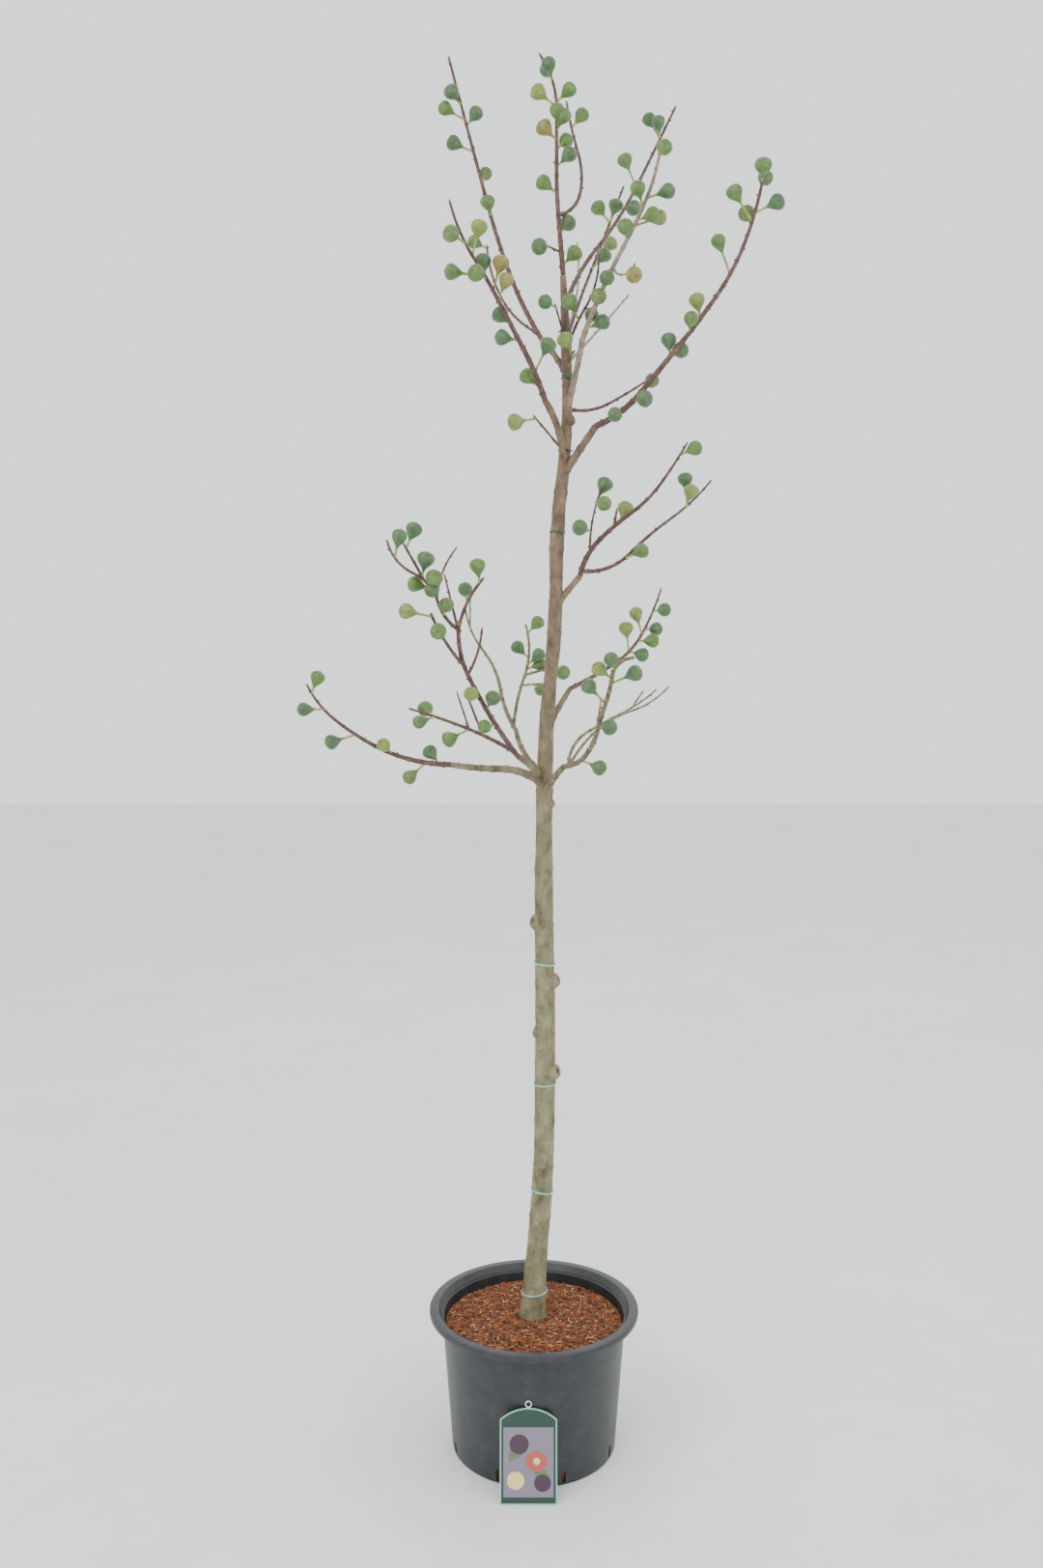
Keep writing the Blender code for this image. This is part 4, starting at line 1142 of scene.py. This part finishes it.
def label_layers():
    """The card and what is printed on it: the front and back depths and the outlines of each colour."""
    half, low, high = 0.043, 0.0125, 0.128
    return {
        "mint": (0, LABEL_THICK, [arched(0)]),
        "green": (-0.08 * MM, 0.2 * MM, [arched(0.0022)]),
        "ground": (-0.14 * MM, 0.1 * MM, [[(-half, low), (half, low), (half, high), (-half, high)]]),
        "leaf": (-0.2 * MM, 0, [leaf(-0.034, 0.072, 0.046, 0.9), leaf(0.036, 0.030, 0.044, 2.2)]),
        "purple": (-0.26 * MM, 0, [disc(-0.016, 0.100, 0.0165), disc(0.024, 0.036, 0.0145)]),
        "red": (-0.32 * MM, 0, [disc(0.014, 0.072, 0.0185, 0.9)]),
        "cream": (-0.38 * MM, 0, [disc(-0.022, 0.040, 0.0150), disc(0.014, 0.072, 0.0060)]),
    }


class FIGTREE_OT_label(bpy.types.Operator):
    """Make the label's card with its plain design, and its hanging loop"""

    bl_idname = "figtree.label"
    bl_label = "Label"

    def execute(self, context):
        place = label_place()
        for kind, (front, back, outlines) in label_layers().items():
            shape = bmesh.new()
            for outline in outlines:
                join(shape, panel(outline, front, back), place)
            tone = getattr(settings().label, kind)
            # Coated card: an even colour under a thin coat of gloss
            card = make_finish(
                "coated_card_" + kind, ((0.35, tone), (0.65, tone)), 20, 2, 0.32, extras={"Coat Weight": 0.3}
            )
            show("label_" + kind, shape, card, ("plant_label",) if kind == "mint" else ())
        middle = LABEL_HEIGHT + LOOP_RADIUS + MM + CLEAR
        ring = [place @ Vector((LOOP_RADIUS * cos(turn), LABEL_THICK / 2, middle + LOOP_RADIUS * sin(turn)))
                for turn in np.linspace(0, 2 * pi, 33)]
        # White nylon: smooth, milky and softly shiny
        nylon = make_finish("white_nylon", ((0.4, "#d9dad6"), (0.6, "#eeeeea")), 5, 1, 0.4)
        loop = tube(ring, [LOOP_THICK] * len(ring), 10)
        show("label_hanging_loop", loop, nylon, ("label_loop",))
        return {"FINISHED"}


def round_trunk(height, gap, count, lift):
    """Points round the trunk, a gap off it. lift(turn) says how far each is raised. All in millimetres."""
    radius = trunk_radius(height * MM) + gap * MM
    return [trunk_middle(height) + np.array([radius * cos(turn), radius * sin(turn), lift(turn) * MM])
            for turn in np.linspace(0, 2 * pi, count)]


class FIGTREE_OT_ties(bpy.types.Operator):
    """Make the mint bands low on the trunk and the green twisted ties higher up"""

    bl_idname = "figtree.ties"
    bl_label = "Ties"

    def execute(self, context):
        ties = settings().ties
        bands = bmesh.new()
        for height, tilt in BANDS:
            ring = round_trunk(height, BAND_GAP, 61, lambda turn: tilt * cos(turn))
            for raised in (-0.7 * MM, 0.7 * MM):
                line = [point + (0, 0, raised) for point in ring]
                join(bands, tube(line, [BAND_RADIUS * MM] * len(line), 8))
        # Polythene tube: soft, pale mint and waxy
        mint = make_finish("mint_polythene_tube", ((0.3, "#6fb59a"), (0.7, ties.mint)), 12, 2, 0.4)
        show("mint_bands", bands, mint)
        twists = bmesh.new()
        rng = random.Random(SEED + 4)
        for height in TIES:
            ring = round_trunk(height, TIE_GAP, 49, lambda turn: 1.5 * sin(turn * 2))
            join(twists, tube(ring, [TIE_RADII[0] * MM] * len(ring), 7))
            knot = trunk_middle(height) - (0, trunk_radius(height * MM) + TIE_GAP * MM, 0)
            for side in (-1, 1):
                reach = side * rng.uniform(10, 15)
                bends = ((0, 0.5, 0), (side * 3, -3, side), (reach * 0.6, -5, rng.uniform(-2, 4)),
                         (reach, -6, rng.uniform(-5, 6)))
                end = [knot + np.array(bend) * MM for bend in bends]
                join(twists, tube(end, [radius * MM for radius in TIE_RADII], 7))
        # Plastic-coated wire: dark green and satin
        green = make_finish("green_twist_wire", ((0.3, "#143c30"), (0.7, ties.green)), 8, 1, 0.42)
        show("twist_ties", twists, green)
        return {"FINISHED"}


def make_camera():
    """The camera at the photograph's viewing angle."""
    camera = bpy.data.cameras.new("front_camera")
    camera.sensor_fit = "VERTICAL"
    camera.sensor_height = CAMERA_SENSOR
    camera.lens = CAMERA_LENS
    view = bpy.data.objects.new("front_camera", camera)
    view.location = CAMERA_PLACE
    view.rotation_euler = (radians(90 - CAMERA_DROP), 0, 0)
    bpy.context.scene.collection.objects.link(view)
    bpy.context.scene.camera = view


class FIGTREE_OT_stage(bpy.types.Operator):
    """Make the plain pale floor, the soft studio light and the camera"""

    bl_idname = "figtree.stage"
    bl_label = "Studio"

    def execute(self, context):
        studio = settings().studio
        shape = bmesh.new()
        bmesh.ops.create_grid(shape, x_segments=2, y_segments=2, size=9)
        mesh = bpy.data.meshes.new("studio_floor")
        shape.to_mesh(mesh)
        shape.free()
        # Matt painted floor: pale, with broad faint patches
        mesh.materials.append(
            make_finish("matt_studio_floor", ((0.4, "#e6e7e6"), (0.6, studio.floor)), 400, 60, 0.8)
        )
        floor = bpy.data.objects.new("studio_floor", mesh)
        context.scene.collection.objects.link(floor)
        for name, (place, turn, size) in LIGHTS.items():
            light = bpy.data.lights.new(name, "AREA")
            light.size = size
            light.energy = getattr(studio, name)
            lamp = bpy.data.objects.new(name, light)
            lamp.location = place
            lamp.rotation_euler = [radians(angle) for angle in turn]
            context.scene.collection.objects.link(lamp)
        world = bpy.data.worlds.new("pale_studio")
        context.scene.world = world
        world.use_nodes = True
        backdrop = world.node_tree.nodes["Background"]
        backdrop.inputs["Color"].default_value = (*studio.backdrop, 1)
        backdrop.inputs["Strength"].default_value = studio.strength
        make_camera()
        return {"FINISHED"}


OPERATORS = (
    FIGTREE_OT_trunk, FIGTREE_OT_boughs, FIGTREE_OT_shoots, FIGTREE_OT_figs, FIGTREE_OT_soil, FIGTREE_OT_pot,
    FIGTREE_OT_label, FIGTREE_OT_ties, FIGTREE_OT_stage,
)


class FIGTREE_PT_panel(bpy.types.Panel):
    """Lists the settings and the pieces"""

    bl_label = "Fig tree"
    bl_idname = "FIGTREE_PT_panel"
    bl_space_type = "VIEW_3D"
    bl_region_type = "UI"
    bl_category = "Fig tree"

    def draw(self, context):
        for group_name in FigTreeSettings.__annotations__:
            group = getattr(context.scene.fig_tree, group_name)
            box = self.layout.box()
            for name in type(group).__annotations__:
                box.prop(group, name)
        for kind in OPERATORS:
            self.layout.operator(kind.bl_idname)


CLASSES = (
    WoodSettings, FigSettings, SoilSettings, PotSettings, LabelSettings, TieSettings, StudioSettings,
    FigTreeSettings, *OPERATORS, FIGTREE_PT_panel,
)


def register():
    for kind in CLASSES:
        bpy.utils.register_class(kind)
    bpy.types.Scene.fig_tree = bpy.props.PointerProperty(type=FigTreeSettings)


def unregister():
    del bpy.types.Scene.fig_tree
    for kind in reversed(CLASSES):
        bpy.utils.unregister_class(kind)


def main():
    register()
    bpy.ops.figtree.trunk()
    bpy.ops.figtree.boughs()
    bpy.ops.figtree.shoots()
    bpy.ops.figtree.figs()
    bpy.ops.figtree.soil()
    bpy.ops.figtree.pot()
    bpy.ops.figtree.label()
    bpy.ops.figtree.ties()
    bpy.ops.figtree.stage()


if __name__ == "__main__":
    main()
